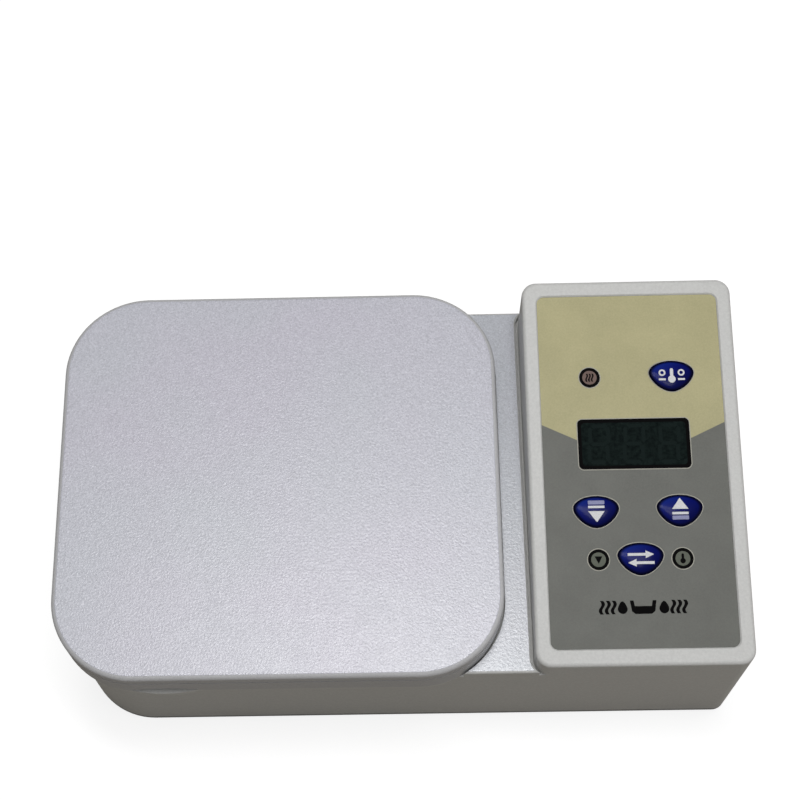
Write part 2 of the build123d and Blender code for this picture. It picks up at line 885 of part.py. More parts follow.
fuse_plane = Plane(
    origin=(fuse_place[0], fuse_place[1], fuse_z), x_dir=(1, 0, 0), z_dir=(0, -1, 0)
)
with BuildPart() as fuse:
    with BuildSketch(fuse_plane):
        Circle(fuse_radius)
    extrude(amount=fuse_length / 2, both=True)
    fillet(fuse.edges().filter_by(GeomType.CIRCLE), component_edge)
save(fuse, "fuse")

with BuildPart() as fuse_clips:
    clip_outer = fuse_radius + sheet_thickness
    clip_shift = (fuse_length - cap_length) / 2
    for side in (-1, 1):
        with BuildSketch(fuse_plane.offset(side * clip_shift)):
            Circle(clip_outer)
            Rectangle(
                2 * clip_outer, clip_outer, align=(Align.CENTER, Align.MIN), mode=Mode.SUBTRACT
            )
            Rectangle(2 * fuse_radius, fuse_z - board_top_z, align=(Align.CENTER, Align.MAX))
            Circle(fuse_radius + pilot_gap, mode=Mode.SUBTRACT)
        extrude(amount=cap_length / 2, both=True)
save(fuse_clips, "fuse_clips")

# ---------------------------------------------------------------- display board and keys

display_board_width = 50.0
display_board_length = 103.0
lead_spacing = 2.54
lead_radius = 0.3
spacer_radius = 2.4
led_seat = -6.4
led_flange = 1.9
led_dome = 1.35
led_tail = 1.0
led_top = -recess_depth - pilot_gap
switch_size = 6.0
switch_height = 3.5
switch_floor = 1.0
plunger_radius = 1.75
plunger_gap = 0.05
plunger_top = board_top + 5.0
plunger_bottom = board_top + 1.4

with BuildPart() as display_board:
    with BuildSketch(panel.offset(board_bottom)):
        RectangleRounded(display_board_width, display_board_length, soft_edge)
        with GridLocations(2 * board_hole_u, 2 * board_hole_v, 2, 2):
            Circle(screw_radius + hole_gap, mode=Mode.SUBTRACT)
        with Locations(list(led_places.values())):
            with GridLocations(lead_spacing, 0, 2, 1):
                Circle(lead_radius + pilot_gap, mode=Mode.SUBTRACT)
    extrude(amount=board_thickness)
save(display_board, "display_board")

display_screw_shape = pan_screw(-board_bottom - roof - soft_edge)
with BuildPart(Plane(panel.offset(board_bottom).location * Rot(180, 0, 0))) as display_screws:
    with GridLocations(2 * board_hole_u, 2 * board_hole_v, 2, 2):
        add(display_screw_shape)
save(display_screws, "display_board_screws")

module_width = 37.6
module_height = 19.0
face_depth = 0.4
with BuildPart() as display_module:
    with BuildSketch(panel.offset(board_top)):
        with Locations((0, window_row)):
            Rectangle(module_width, module_height)
    extrude(amount=module_thickness)
    with BuildSketch(panel.offset(module_top)):
        with Locations((0, window_row)):
            RectangleRounded(window_width, window_height, window_corner)
    extrude(amount=-face_depth, mode=Mode.SUBTRACT)
save(display_module, "display_module")

with BuildPart() as display_window:
    with BuildSketch(panel.offset(-recess_depth)):
        with Locations((0, window_row)):
            RectangleRounded(
                window_width - part_gap, window_height - part_gap, window_corner
            )
    extrude(amount=overlay_thickness)
save(display_window, "display_window")

with BuildPart() as control_overlay:
    with BuildSketch(panel.offset(-recess_depth)):
        RectangleRounded(
            overlay_width - part_gap, overlay_length - part_gap, overlay_corner - part_gap
        )
        with Locations((0, window_row)):
            RectangleRounded(
                window_width + part_gap,
                window_height + part_gap,
                window_corner + part_gap,
                mode=Mode.SUBTRACT,
            )
        with Locations(list(key_places.values())):
            add(key_hole, mode=Mode.SUBTRACT)
    extrude(amount=overlay_thickness)
save(control_overlay, "control_overlay")

with BuildPart() as tact_switches:
    with BuildSketch(panel.offset(board_top)):
        with Locations(list(key_places.values())):
            Rectangle(switch_size, switch_size)
    extrude(amount=switch_height)
    with BuildSketch(panel.offset(board_top + switch_floor)):
        with Locations(list(key_places.values())):
            Circle(plunger_radius + plunger_gap)
    extrude(amount=switch_height, mode=Mode.SUBTRACT)
save(tact_switches, "tact_switches")

key_top = overlay_top + key_stand
key_flange_top = -roof - plunger_gap
key_flange_bottom = key_flange_top - sheet_thickness
for key_name, key_place in key_places.items():
    with BuildPart() as key:
        with BuildSketch(panel.offset(key_flange_top)):
            with Locations(key_place):
                add(key_shape)
        extrude(amount=key_top - key_flange_top)
        fillet(key.faces().sort_by(panel_axis)[-1].edges(), key_stand / 2)
        with BuildSketch(panel.offset(key_flange_bottom)):
            with Locations(key_place):
                add(key_flange_shape)
        extrude(amount=sheet_thickness)
        with BuildSketch(panel.offset(plunger_top)):
            with Locations(key_place):
                Circle(plunger_radius)
        extrude(amount=key_flange_bottom - plunger_top)
    save(key, f"key_{key_name}")

    with BuildPart() as plunger:
        with BuildSketch(panel.offset(plunger_bottom)):
            with Locations(key_place):
                Circle(plunger_radius)
        extrude(amount=plunger_top - plunger_bottom)
    save(plunger, f"plunger_{key_name}")

for led_name, led_place in led_places.items():
    with BuildPart() as led:
        with BuildSketch(panel.offset(led_seat)):
            with Locations(led_place):
                Circle(led_radius)
        extrude(amount=led_top - led_seat)
        fillet(led.faces().sort_by(panel_axis)[-1].edges(), led_dome)
        with BuildSketch(panel.offset(led_seat)):
            with Locations(led_place):
                Circle(led_flange)
        extrude(amount=sheet_thickness)
        with BuildSketch(panel.offset(led_seat)):
            with Locations(led_place):
                with GridLocations(lead_spacing, 0, 2, 1):
                    Circle(lead_radius)
        extrude(amount=board_bottom - led_tail - led_seat)
    save(led, f"led_{led_name}")

with BuildPart() as led_spacers:
    with BuildSketch(panel.offset(board_top)):
        with Locations(list(led_places.values())):
            Circle(spacer_radius)
            with GridLocations(lead_spacing, 0, 2, 1):
                Circle(lead_radius + pilot_gap, mode=Mode.SUBTRACT)
    extrude(amount=led_seat - board_top)
save(led_spacers, "led_spacers")

# ---------------------------------------------------------------- inlet and mains switch

inlet_flange_width = 48.0
inlet_flange_height = 22.4
inlet_flange = 2.6
inlet_corner = 3.0
inlet_body_depth = 16.0
inlet_cavity_wall = 1.6
pin_width = 2.0
pin_height = 4.0
pin_tail = 6.0
pin_spacing = 7.0
earth_rise = 4.0
socket_depth = 13.5
socket_bevel = 4.0
pin_recess = 1.0

pin_places = [(-pin_spacing, inlet_z), (pin_spacing, inlet_z), (0, inlet_z + earth_rise)]

with BuildPart() as power_inlet:
    with BuildSketch(rear_wall):
        with Locations((0, inlet_z)):
            RectangleRounded(inlet_flange_width, inlet_flange_height, inlet_corner)
    extrude(amount=inlet_flange)
    fillet(power_inlet.faces().sort_by(Axis.Y)[-1].edges(), component_edge)
    with BuildSketch(rear_wall):
        with Locations((0, inlet_z)):
            RectangleRounded(inlet_body_width, inlet_body_height, soft_edge)
    extrude(amount=-inlet_body_depth)
    with BuildSketch(rear_wall.offset(inlet_flange)) as socket_mouth:
        with Locations((0, inlet_z)):
            Rectangle(
                inlet_body_width - 2 * inlet_cavity_wall, inlet_body_height - 2 * inlet_cavity_wall
            )
        chamfer(socket_mouth.vertices().group_by(Axis.Z)[-1], socket_bevel)
        fillet(socket_mouth.vertices().group_by(Axis.Z)[0], soft_edge)
    extrude(amount=-socket_depth, mode=Mode.SUBTRACT)
    with BuildSketch(rear_wall.offset(inlet_flange)):
        with Locations((0, inlet_z)):
            with GridLocations(inlet_screw_spacing, 0, 2, 1):
                Circle(screw_radius + hole_gap)
    extrude(amount=-inlet_flange, mode=Mode.SUBTRACT)
    with BuildSketch(rear_wall.offset(inlet_flange)):
        with Locations((0, inlet_z)):
            with GridLocations(inlet_screw_spacing, 0, 2, 1):
                Circle(head_radius + hole_gap)
    extrude(amount=-head_depth - overlap, mode=Mode.SUBTRACT)
    with BuildSketch(rear_wall.offset(-inlet_body_depth)):
        with Locations(pin_places):
            Rectangle(pin_width, pin_height)
    extrude(amount=inlet_body_depth, mode=Mode.SUBTRACT)
save(power_inlet, "power_inlet")

with BuildPart() as inlet_pins:
    with BuildSketch(rear_wall.offset(-inlet_body_depth - pin_tail)):
        with Locations(pin_places):
            Rectangle(pin_width, pin_height)
    extrude(amount=inlet_body_depth + pin_tail - pin_recess)
    chamfer(inlet_pins.faces().group_by(Axis.Y)[-1].edges(), pin_width / 4)
save(inlet_pins, "inlet_pins")

inlet_screw_shape = pan_screw(inlet_flange + wall + soft_edge)
with BuildPart(rear_wall.offset(inlet_flange - head_depth - overlap)) as inlet_screws:
    with Locations((0, inlet_z)):
        with GridLocations(inlet_screw_spacing, 0, 2, 1):
            add(inlet_screw_shape)
save(inlet_screws, "inlet_screws")

# rocker switch: the rocker turns about a vertical pin line just inside the rear wall
rocker_bezel_width = 21.4
rocker_bezel_height = 15.0
rocker_bezel = 1.6
rocker_corner = 1.2
rocker_body_depth = 14.0
rocker_length = 15.2
rocker_height = 10.6
rocker_cavity_gap = 0.5
rocker_tilt = 10.0
pivot_depth = 2.2
pivot_radius = 1.0
pivot_reach = 0.9
rocker_crest = 1.2
rocker_dish = 0.4
rocker_heel = 4.0
rocker_shoulder = 0.8
cavity_depth = 7.4
pivot_y = rear_y - pivot_depth
pivot_axis = Axis((tower_x, pivot_y, rocker_z), (0, 0, 1))

with BuildPart() as rocker_housing:
    with BuildSketch(rear_wall):
        with Locations((0, rocker_z)):
            RectangleRounded(rocker_bezel_width, rocker_bezel_height, rocker_corner)
    extrude(amount=rocker_bezel)
    fillet(rocker_housing.faces().sort_by(Axis.Y)[-1].edges(), component_edge)
    with BuildSketch(rear_wall):
        with Locations((0, rocker_z)):
            Rectangle(rocker_body_width, rocker_body_height)
    extrude(amount=-rocker_body_depth)
    with BuildSketch(rear_wall.offset(rocker_bezel)):
        with Locations((0, rocker_z)):
            Rectangle(
                rocker_length + 2 * rocker_cavity_gap, rocker_height + 2 * rocker_cavity_gap
            )
    extrude(amount=-rocker_bezel - cavity_depth, mode=Mode.SUBTRACT)
    with BuildSketch(Plane(origin=(tower_x, pivot_y, rocker_z))):
        Circle(pivot_radius + pilot_gap)
    extrude(amount=rocker_height / 2 + pivot_reach + pilot_gap, both=True, mode=Mode.SUBTRACT)
    # two spade terminals' slots at the back
    with BuildSketch(rear_wall.offset(-rocker_body_depth)):
        with Locations((0, rocker_z)):
            with GridLocations(pin_spacing, 0, 2, 1):
                Rectangle(sheet_thickness, pin_height)
    extrude(amount=pin_height, mode=Mode.SUBTRACT)
save(rocker_housing, "rocker_housing")

with BuildPart() as rocker_tabs:
    with BuildSketch(rear_wall.offset(-rocker_body_depth - pin_tail)):
        with Locations((0, rocker_z)):
            with GridLocations(pin_spacing, 0, 2, 1):
                Rectangle(sheet_thickness, pin_height)
    extrude(amount=pin_tail + pin_height)
save(rocker_tabs, "rocker_tabs")

with BuildPart() as rocker_cap:
    with BuildSketch(Plane(origin=(tower_x, pivot_y, rocker_z))):
        with BuildLine():
            half = rocker_length / 2
            crest = pivot_depth + rocker_crest
            ThreePointArc((-half, crest), (0, crest - rocker_dish), (half, crest))
            Polyline(
                (half, crest),
                (half - rocker_shoulder, -rocker_shoulder),
                (0, -rocker_heel),
                (rocker_shoulder - half, -rocker_shoulder),
                (-half, crest),
            )
        make_face()
    extrude(amount=rocker_height / 2, both=True)
    fillet(rocker_cap.faces().sort_by(Axis.Y)[-1].edges(), rocker_dish)
    with BuildSketch(Plane(origin=(tower_x, pivot_y, rocker_z))):
        Circle(pivot_radius)
    extrude(amount=rocker_height / 2 + pivot_reach, both=True)

# the finished rocker stands in its "off" position
with BuildPart() as rocker:
    add(rocker_cap.part.rotate(pivot_axis, -rocker_tilt))
save(rocker, "rocker")

# ---------------------------------------------------------------- leads

lead_insulation = 0.9
lead_clear = 0.5


def lead_group(name, paths, radius):
    """Write one node of separate round leads."""
    leads = [round_lead(points, radius) for points in paths]
    with BuildPart() as group:
        add(leads)
    save(group, name)


pin_back_y = rear_y - inlet_body_depth - pin_tail - lead_insulation - lead_clear
tab_back_y = rear_y - rocker_body_depth - pin_tail - lead_insulation - lead_clear
terminal_left = terminal_place[0] - terminal_size[0] / 2
terminal_front_y = terminal_place[1] - terminal_size[1] / 2 - lead_insulation - lead_clear
terminal_rear_y = terminal_place[1] + terminal_size[1] / 2 + lead_insulation + lead_clear
terminal_x = [terminal_left + (index + 0.5) * terminal_pitch for index in range(terminal_count)]
terminal_lead_z = board_top_z + terminal_size[2] / 2
# Each path lists the points that a lead passes through, from one terminal to the other.
# The leads run forwards in the open channel between the tank and the main board, and the
# points between the terminals keep them clear of the studs, nuts and components.
channel_x = (side_x + main_board_x - main_board_length / 2) / 2 + 5

mains_paths = [
    [
        (tower_x + pin_spacing, pin_back_y, inlet_z),
        (tower_x + pin_spacing + 2, pin_back_y + 1, (inlet_z + rocker_z) / 2),
        (tower_x + pin_spacing / 2, tab_back_y, rocker_z),
    ],
    [
        (tower_x - pin_spacing / 2, tab_back_y, rocker_z),
        (tower_left, tab_back_y - 8, rocker_z - 8),
        (channel_x, 10, 34),
        (channel_x, terminal_rear_y, 30),
        (channel_x + 8, terminal_front_y - 5, 24),
        (terminal_x[0], terminal_front_y, terminal_lead_z),
    ],
    [
        (tower_x - pin_spacing, pin_back_y, inlet_z),
        (tower_x - 20, pin_back_y, inlet_z + 1),
        (channel_x + 2.5, 27, inlet_z),
        (channel_x + 2.5, -20, 22),
        (channel_x + 9, terminal_front_y - 8, 20),
        (terminal_x[1], terminal_front_y, terminal_lead_z),
    ],
]
lead_group("mains_leads", mains_paths, lead_insulation)

heater_right = lid_x + heater_length / 2
heater_lead_radius = 0.7
heater_lead_start = heater_right + heater_lead_radius + lead_clear
heater_lead_z = heater_top - heater_thickness / 2
heater_paths = [
    [
        (heater_lead_start, -4, heater_lead_z),
        (26, -8, heater_lead_z),
        (channel_x + 1, -21, 17),
        (50, terminal_rear_y + 3, 20),
        (60, terminal_rear_y + 3, 20),
        (terminal_x[3], terminal_rear_y, terminal_lead_z),
    ],
    [
        (heater_lead_start, -9, heater_lead_z),
        (26, -13, heater_lead_z),
        (channel_x, -26, 16),
        (50, terminal_rear_y + 0.8, 17.5),
        (57, terminal_rear_y + 0.8, 18),
        (terminal_x[2], terminal_rear_y, terminal_lead_z),
    ],
]
lead_group("heater_leads", heater_paths, heater_lead_radius)

sensor_lead_radius = 0.45
sensor_end_y = sensor_y - sensor_length / 2 - sensor_lead_radius - lead_clear
sensor_x = side_x + sensor_radius
sensor_paths = [
    [
        (sensor_x, sensor_end_y, side_z - 1),
        (channel_x - 7, -34, 28),
        (45, -48, 33),
        (60, -51, 29),
        (terminal_x[4], terminal_front_y - 6, 22),
        (terminal_x[4], terminal_front_y, terminal_lead_z),
    ],
    [
        (sensor_x, sensor_end_y, side_z + 1),
        (channel_x - 4, -36, 40),
        (56, -49, 32),
        (terminal_x[5], terminal_front_y - 6, 23),
        (terminal_x[5], terminal_front_y, terminal_lead_z),
    ],
]
lead_group("sensor_leads", sensor_paths, sensor_lead_radius)

cutout_back_x = side_x + cutout_cap + cutout_body + heater_lead_radius + lead_clear
relay_top_z = board_top_z + relay_size[2]
cutout_paths = [
    [
        (cutout_back_x, cutout_y - 3, side_z),
        (cutout_back_x + 1, 5, 24),
        (26, 3, heater_lead_z),
        (heater_lead_start, 2, heater_lead_z),
    ],
    [
        (cutout_back_x, cutout_y + 3, side_z),
        (channel_x, cutout_y + 4, 42),
        (transformer_x, transformer_y + 3, board_top_z + core_height + 8),
        (relay_place[0] - 3, relay_place[1] + 1, 43),
        (relay_place[0], relay_place[1], relay_top_z + heater_lead_radius + lead_clear),
    ],
]
lead_group("cutout_leads", cutout_paths, heater_lead_radius)

# ribbon between a header on each board
ribbon_width = 12.0
ribbon_thickness = 0.9
header_u = header_x - tower_x
header_v = -40.0
upper_header = panel.offset(board_bottom - header_size[2])
upper_mouth = upper_header.from_local_coords((header_u, header_v, -overlap))
with BuildPart() as ribbon_headers:
    with BuildSketch(upper_header):
        with Locations((header_u, header_v)):
            Rectangle(header_size[0], header_size[1])
    extrude(amount=header_size[2])
    add(box_on_board((header_x, header_y), header_size).part)
save(ribbon_headers, "ribbon_headers")

with BuildPart() as ribbon_cable:
    with BuildLine() as ribbon_path:
        Spline(
            (upper_mouth.X, upper_mouth.Y, upper_mouth.Z),
            (header_x, header_y, board_top_z + header_size[2] + overlap),
            tangents=[(0, math.sin(tower_angle), -math.cos(tower_angle)), (0, 0, -1)],
        )
    with BuildSketch(
        Plane(origin=ribbon_path.line @ 0, x_dir=(1, 0, 0), z_dir=ribbon_path.line % 0)
    ):
        Rectangle(ribbon_width, ribbon_thickness)
    sweep(path=ribbon_path.line)
save(ribbon_cable, "ribbon_cable")
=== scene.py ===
import json
import math

import bmesh
import bpy
from mathutils import Euler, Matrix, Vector


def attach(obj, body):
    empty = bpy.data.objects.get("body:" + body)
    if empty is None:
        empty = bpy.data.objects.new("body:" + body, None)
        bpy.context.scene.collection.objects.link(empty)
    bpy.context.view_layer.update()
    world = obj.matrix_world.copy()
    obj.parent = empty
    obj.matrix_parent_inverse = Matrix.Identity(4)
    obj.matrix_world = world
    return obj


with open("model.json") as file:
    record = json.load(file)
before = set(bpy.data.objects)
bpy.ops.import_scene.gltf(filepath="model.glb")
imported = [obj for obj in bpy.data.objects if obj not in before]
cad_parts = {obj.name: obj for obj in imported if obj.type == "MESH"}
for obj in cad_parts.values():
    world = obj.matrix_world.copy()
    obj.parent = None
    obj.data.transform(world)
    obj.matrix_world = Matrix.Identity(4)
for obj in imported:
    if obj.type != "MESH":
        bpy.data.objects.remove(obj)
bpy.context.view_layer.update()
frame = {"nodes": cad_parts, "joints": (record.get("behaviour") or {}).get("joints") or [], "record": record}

# Looks of a small electric wax bath. Lengths are metres in the frame's own axes:
# +X towards the control tower, +Y to the rear, +Z up.

MM = 0.001
UP = (0, 0, 1)
NODES = frame["nodes"]
JOINTS = {joint["name"]: joint for joint in frame["joints"]}

# ------------------------------------------------------------------ node helpers


class Shader:
    """A material's node tree, with short calls for the nodes used below."""

    def __init__(self, name):
        self.material = bpy.data.materials.new(name)
        self.material.use_nodes = True
        self.tree = self.material.node_tree
        self.bsdf = self.tree.nodes["Principled BSDF"]
        self.place = self.tree.nodes.new("ShaderNodeTexCoord").outputs["Object"]

    def link(self, source, target):
        """Join an output to an input."""
        self.tree.links.new(source, target)

    def feed(self, value, target):
        """Give a socket a link, a colour or a plain value."""
        if isinstance(value, bpy.types.NodeSocket):
            self.link(value, target)
        elif isinstance(value, tuple) and len(value) == 3:
            target.default_value = (*value, 1.0)
        else:
            target.default_value = value

    def put(self, socket, value):
        """Set a socket of the surface."""
        self.feed(value, self.bsdf.inputs[socket])

    def scaled(self, scale):
        """Object coordinates stretched by a factor for each axis."""
        node = self.tree.nodes.new("ShaderNodeMapping")
        node.inputs["Scale"].default_value = scale
        self.link(self.place, node.inputs["Vector"])
        return node.outputs["Vector"]

    def noise(self, size, detail=3.0, roughness=0.5, vector=None):
        """Noise whose features are about `size` metres across."""
        node = self.tree.nodes.new("ShaderNodeTexNoise")
        node.inputs["Scale"].default_value = 1.0 / size
        node.inputs["Detail"].default_value = detail
        node.inputs["Roughness"].default_value = roughness
        self.link(vector or self.place, node.inputs["Vector"])
        return node.outputs["Fac"]

    def cells(self, size):
        """Voronoi cells about `size` metres across, each with its own shade."""
        node = self.tree.nodes.new("ShaderNodeTexVoronoi")
        node.inputs["Scale"].default_value = 1.0 / size
        self.link(self.place, node.inputs["Vector"])
        return node.outputs["Color"]

    def wave(self, size, axis, distortion=0.0):
        """Bands about `size` metres apart."""
        # at a scale of 1 the wave node repeats every 2 pi / 20 units
        unscaled_band = 0.314
        node = self.tree.nodes.new("ShaderNodeTexWave")
        node.bands_direction = axis
        node.inputs["Scale"].default_value = unscaled_band / size
        node.inputs["Distortion"].default_value = distortion
        self.link(self.place, node.inputs["Vector"])
        return node.outputs["Fac"]

    def ramp(self, value, stops):
        """Colour ramp; stops are (position, colour) pairs."""
        node = self.tree.nodes.new("ShaderNodeValToRGB")
        elements = node.color_ramp.elements
        while len(elements) < len(stops):
            elements.new(1.0)
        for element, (position, colour) in zip(elements, stops):
            element.position = position
            element.color = (*colour, 1.0)
        self.link(value, node.inputs["Fac"])
        return node.outputs["Color"]

    def spread(self, value, low, high, from_low=0.0, from_high=1.0):
        """Map a value onto a new range."""
        node = self.tree.nodes.new("ShaderNodeMapRange")
        node.inputs["From Min"].default_value = from_low
        node.inputs["From Max"].default_value = from_high
        node.inputs["To Min"].default_value = low
        node.inputs["To Max"].default_value = high
        self.link(value, node.inputs["Value"])
        return node.outputs["Result"]

    def math(self, operation, first, second=0.0):
        """Result of a sum on two links or values."""
        node = self.tree.nodes.new("ShaderNodeMath")
        node.operation = operation
        for socket, value in zip(node.inputs, (first, second)):
            self.feed(value, socket)
        return node.outputs["Value"]

    def along(self, vector, direction):
        """Length of a vector along a direction."""
        node = self.tree.nodes.new("ShaderNodeVectorMath")
        node.operation = "DOT_PRODUCT"
        self.link(vector, node.inputs[0])
        node.inputs[1].default_value = direction
        return node.outputs["Value"]

    def dot(self, direction):
        """Object position measured along a direction, in metres."""
        return self.along(self.place, direction)

    def facing(self, direction, low, high):
        """0 where the surface turns away from a direction, 1 where it faces it."""
        normal = self.tree.nodes.new("ShaderNodeTexCoord").outputs["Normal"]
        return self.spread(self.along(normal, direction), 0, 1, low, high)

    def mix(self, factor, first, second, blend="MIX"):
        """Colour between two colours."""
        node = self.tree.nodes.new("ShaderNodeMix")
        node.data_type = "RGBA"
        node.blend_type = blend
        # a mix node carries a set of sockets for each data type; these are the colour ones
        sockets = (node.inputs[0], node.inputs[6], node.inputs[7])
        for socket, value in zip(sockets, (factor, first, second)):
            self.feed(value, socket)
        return node.outputs[2]

    def mottled(self, factor, colour, low, high):
        """A colour that varies between two shades of itself."""
        return self.mix(factor, shade(colour, low), shade(colour, high))

    def attribute(self, name):
        """Value that a mesh carries for each of its points."""
        node = self.tree.nodes.new("ShaderNodeAttribute")
        node.attribute_name = name
        return node.outputs["Fac"]

    def bump(self, height, distance, below=None):
        """Normal for a relief of a given depth, on top of a coarser one."""
        node = self.tree.nodes.new("ShaderNodeBump")
        node.inputs["Distance"].default_value = distance
        node.inputs["Strength"].default_value = 1.0
        self.link(height, node.inputs["Height"])
        if below is not None:
            self.link(below, node.inputs["Normal"])
        return node.outputs["Normal"]


def srgb(red, green, blue):
    """Linear colour from 0-255 display values."""
    def linear(value):
        """One channel, without the display's curve."""
        value /= 255.0
        return value / 12.92 if value <= 0.04045 else ((value + 0.055) / 1.055) ** 2.4

    return (linear(red), linear(green), linear(blue))


def shade(colour, factor):
    """The colour made darker or lighter by a factor."""
    return tuple(min(1.0, channel * factor) for channel in colour)


# ------------------------------------------------------------------ materials


def sparkle_paint(name, colour, smooth_colour, grain, depth, fleck, gloss, storey):
    """Pearl plastic: sparkling orange peel on level faces in a storey, smooth elsewhere."""
    s = Shader(name)
    low, high = storey
    fade = 1 * MM
    height = s.dot(UP)
    above = s.spread(height, 0, 1, low - fade, low)
    below = s.spread(height, 1, 0, high, high + fade)
    level = s.facing(UP, 0.965, 0.985)
    textured = s.math("MULTIPLY", level, s.math("MULTIPLY", above, below))

    # pearl: two close tints in clouds, with pale and dark flecks
    red, green, blue = colour
    cloud = s.spread(s.noise(60 * MM, 2.0), 0, 1, 0.35, 0.65)
    sparkle = s.mix(cloud, (1.01 * red, 0.98 * green, 1.01 * blue),
                    (0.98 * red, 1.01 * green, 0.995 * blue))
    speck = s.cells(0.5 * grain)
    pale = s.ramp(speck, [(0.60, (0, 0, 0)), (0.80, (1, 1, 1))])
    dark = s.ramp(speck, [(0.22, (1, 1, 1)), (0.38, (0, 0, 0))])
    for mask, tone in ((pale, 1.25), (dark, 0.78)):
        sparkle = s.mix(s.math("MULTIPLY", mask, fleck), sparkle, shade(colour, tone))

    peel = s.noise(grain, 3.0, 0.6)
    plain = s.mottled(s.spread(peel, 0, 1, 0.35, 0.65), smooth_colour, 0.955, 1.045)
    s.put("Base Color", s.mix(textured, plain, sparkle))
    s.put("Specular IOR Level", s.spread(textured, 0.30, gloss))
    scuff = s.spread(s.noise(5 * MM, 5.0, 0.7), -0.02, 0.03, 0.3, 0.7)
    s.put("Roughness", s.math("ADD", s.spread(textured, 0.44, 0.30), scuff))
    relief = s.math("MULTIPLY", peel, s.spread(textured, 0.12, 1.0))
    fine_relief = s.noise(0.35 * grain, 2.0)
    s.put("Normal", s.bump(fine_relief, 0.2 * depth, below=s.bump(relief, depth)))
    return s.material


def moulded_plastic(name, colour, rough):
    """Moulded plastic with a fine spark-eroded grain and faint mottling."""
    s = Shader(name)
    mottle = s.spread(s.noise(12 * MM, 4.0, 0.6), 0, 1, 0.35, 0.65)
    s.put("Base Color", s.mottled(mottle, colour, 0.9, 1.1))
    s.put("Roughness", s.spread(s.noise(4 * MM, 5.0, 0.7), rough - 0.06, rough + 0.08, 0.3, 0.7))
    s.put("Normal", s.bump(s.noise(0.5 * MM, 2.0), 0.012 * MM))
    return s.material


def rubber(name, colour, rough):
    """Matt rubber with dust in its pores."""
    s = Shader(name)
    dust = s.noise(3 * MM, 6.0, 0.7)
    s.put("Base Color", s.mix(s.spread(dust, 0, 0.5, 0.5, 0.8), colour, shade(colour, 1.9)))
    s.put("Roughness", s.spread(dust, rough - 0.05, rough + 0.15, 0.3, 0.7))
    s.put("Normal", s.bump(s.noise(0.3 * MM, 3.0), 0.02 * MM))
    return s.material


def brushed_metal(name, colour, rough, stretch):
    """Metal with fine drawn lines along the axes that are stretched least."""
    s = Shader(name)
    lines = s.noise(0.35 * MM, 3.0, 0.6, s.scaled(stretch))
    stain = s.noise(14 * MM, 4.0, 0.6)
    s.put("Base Color", s.mottled(s.spread(stain, 0, 1, 0.35, 0.7), colour, 0.88, 1.0))
    s.put("Metallic", 1.0)
    s.put("Roughness", s.math("ADD", s.spread(lines, rough - 0.06, rough + 0.1, 0.3, 0.7),
                              s.spread(stain, 0, 0.06)))
    s.put("Normal", s.bump(lines, 0.01 * MM))
    return s.material


def fibre_felt(name, colour):
    """Felted mineral fibre."""
    s = Shader(name)
    strands = s.noise(1.6 * MM, 8.0, 0.75, s.scaled((1, 1, 3)))
    s.put("Base Color", s.ramp(strands, [(0.3, shade(colour, 0.7)), (0.7, colour)]))
    s.put("Roughness", 0.95)
    s.put("Sheen Weight", 0.4)
    s.put("Normal", s.bump(strands, 0.4 * MM))
    return s.material


def circuit_board(name):
    """Green solder mask with raised copper tracks."""
    s = Shader(name)
    green = srgb(16, 92, 48)
    tracks = s.math("GREATER_THAN", s.wave(2.2 * MM, "X", 6.0), 0.62)
    across = s.math("GREATER_THAN", s.wave(3.1 * MM, "Y", 5.0), 0.75)
    copper = s.math("MAXIMUM", tracks, across)
    s.put("Base Color", s.mix(copper, green, shade(green, 1.7)))
    s.put("Roughness", s.spread(s.noise(3 * MM, 3.0), 0.25, 0.4))
    s.put("Normal", s.bump(copper, 0.03 * MM))
    return s.material


def wound_tape(name, colour):
    """Insulating tape wound round a coil, turn over turn."""
    s = Shader(name)
    turns = s.wave(1.2 * MM, "Z", 0.4)
    s.put("Base Color", s.mottled(turns, colour, 0.75, 1.0))
    s.put("Roughness", s.spread(turns, 0.35, 0.5))
    s.put("Normal", s.bump(turns, 0.08 * MM))
    return s.material


def laminated_core(name, colour):
    """Stack of varnished steel sheets."""
    s = Shader(name)
    sheets = s.wave(0.9 * MM, "Y", 0.2)
    s.put("Base Color", s.mottled(sheets, colour, 0.6, 1.0))
    s.put("Metallic", 0.8)
    s.put("Roughness", s.spread(s.noise(2 * MM, 4.0), 0.4, 0.6))
    s.put("Normal", s.bump(sheets, 0.06 * MM))
    return s.material


def wire_sleeve(name, colour):
    """Soft insulation of a wire."""
    s = Shader(name)
    s.put("Base Color", s.mottled(s.noise(6 * MM, 3.0), colour, 0.85, 1.1))
    s.put("Roughness", s.spread(s.noise(1 * MM, 3.0), 0.4, 0.55))
    s.put("Normal", s.bump(s.noise(0.5 * MM, 2.0), 0.01 * MM))
    return s.material


def ribbon_strands(name, colour):
    """Flat cable with strands side by side."""
    s = Shader(name)
    strands = s.wave(1.27 * MM, "X")
    s.put("Base Color", s.mottled(strands, colour, 0.7, 1.1))
    s.put("Roughness", 0.5)
    s.put("Normal", s.bump(strands, 0.2 * MM))
    return s.material


def glass_tube(name):
    """Clear glass with faint smudges."""
    s = Shader(name)
    smudge = s.noise(4 * MM, 4.0)
    s.put("Base Color", s.mix(smudge, (0.90, 0.93, 0.93), (0.98, 0.98, 0.98)))
    s.put("Transmission Weight", 0.9)
    s.put("Roughness", s.spread(smudge, 0.02, 0.10))
    s.put("IOR", 1.47)
    return s.material


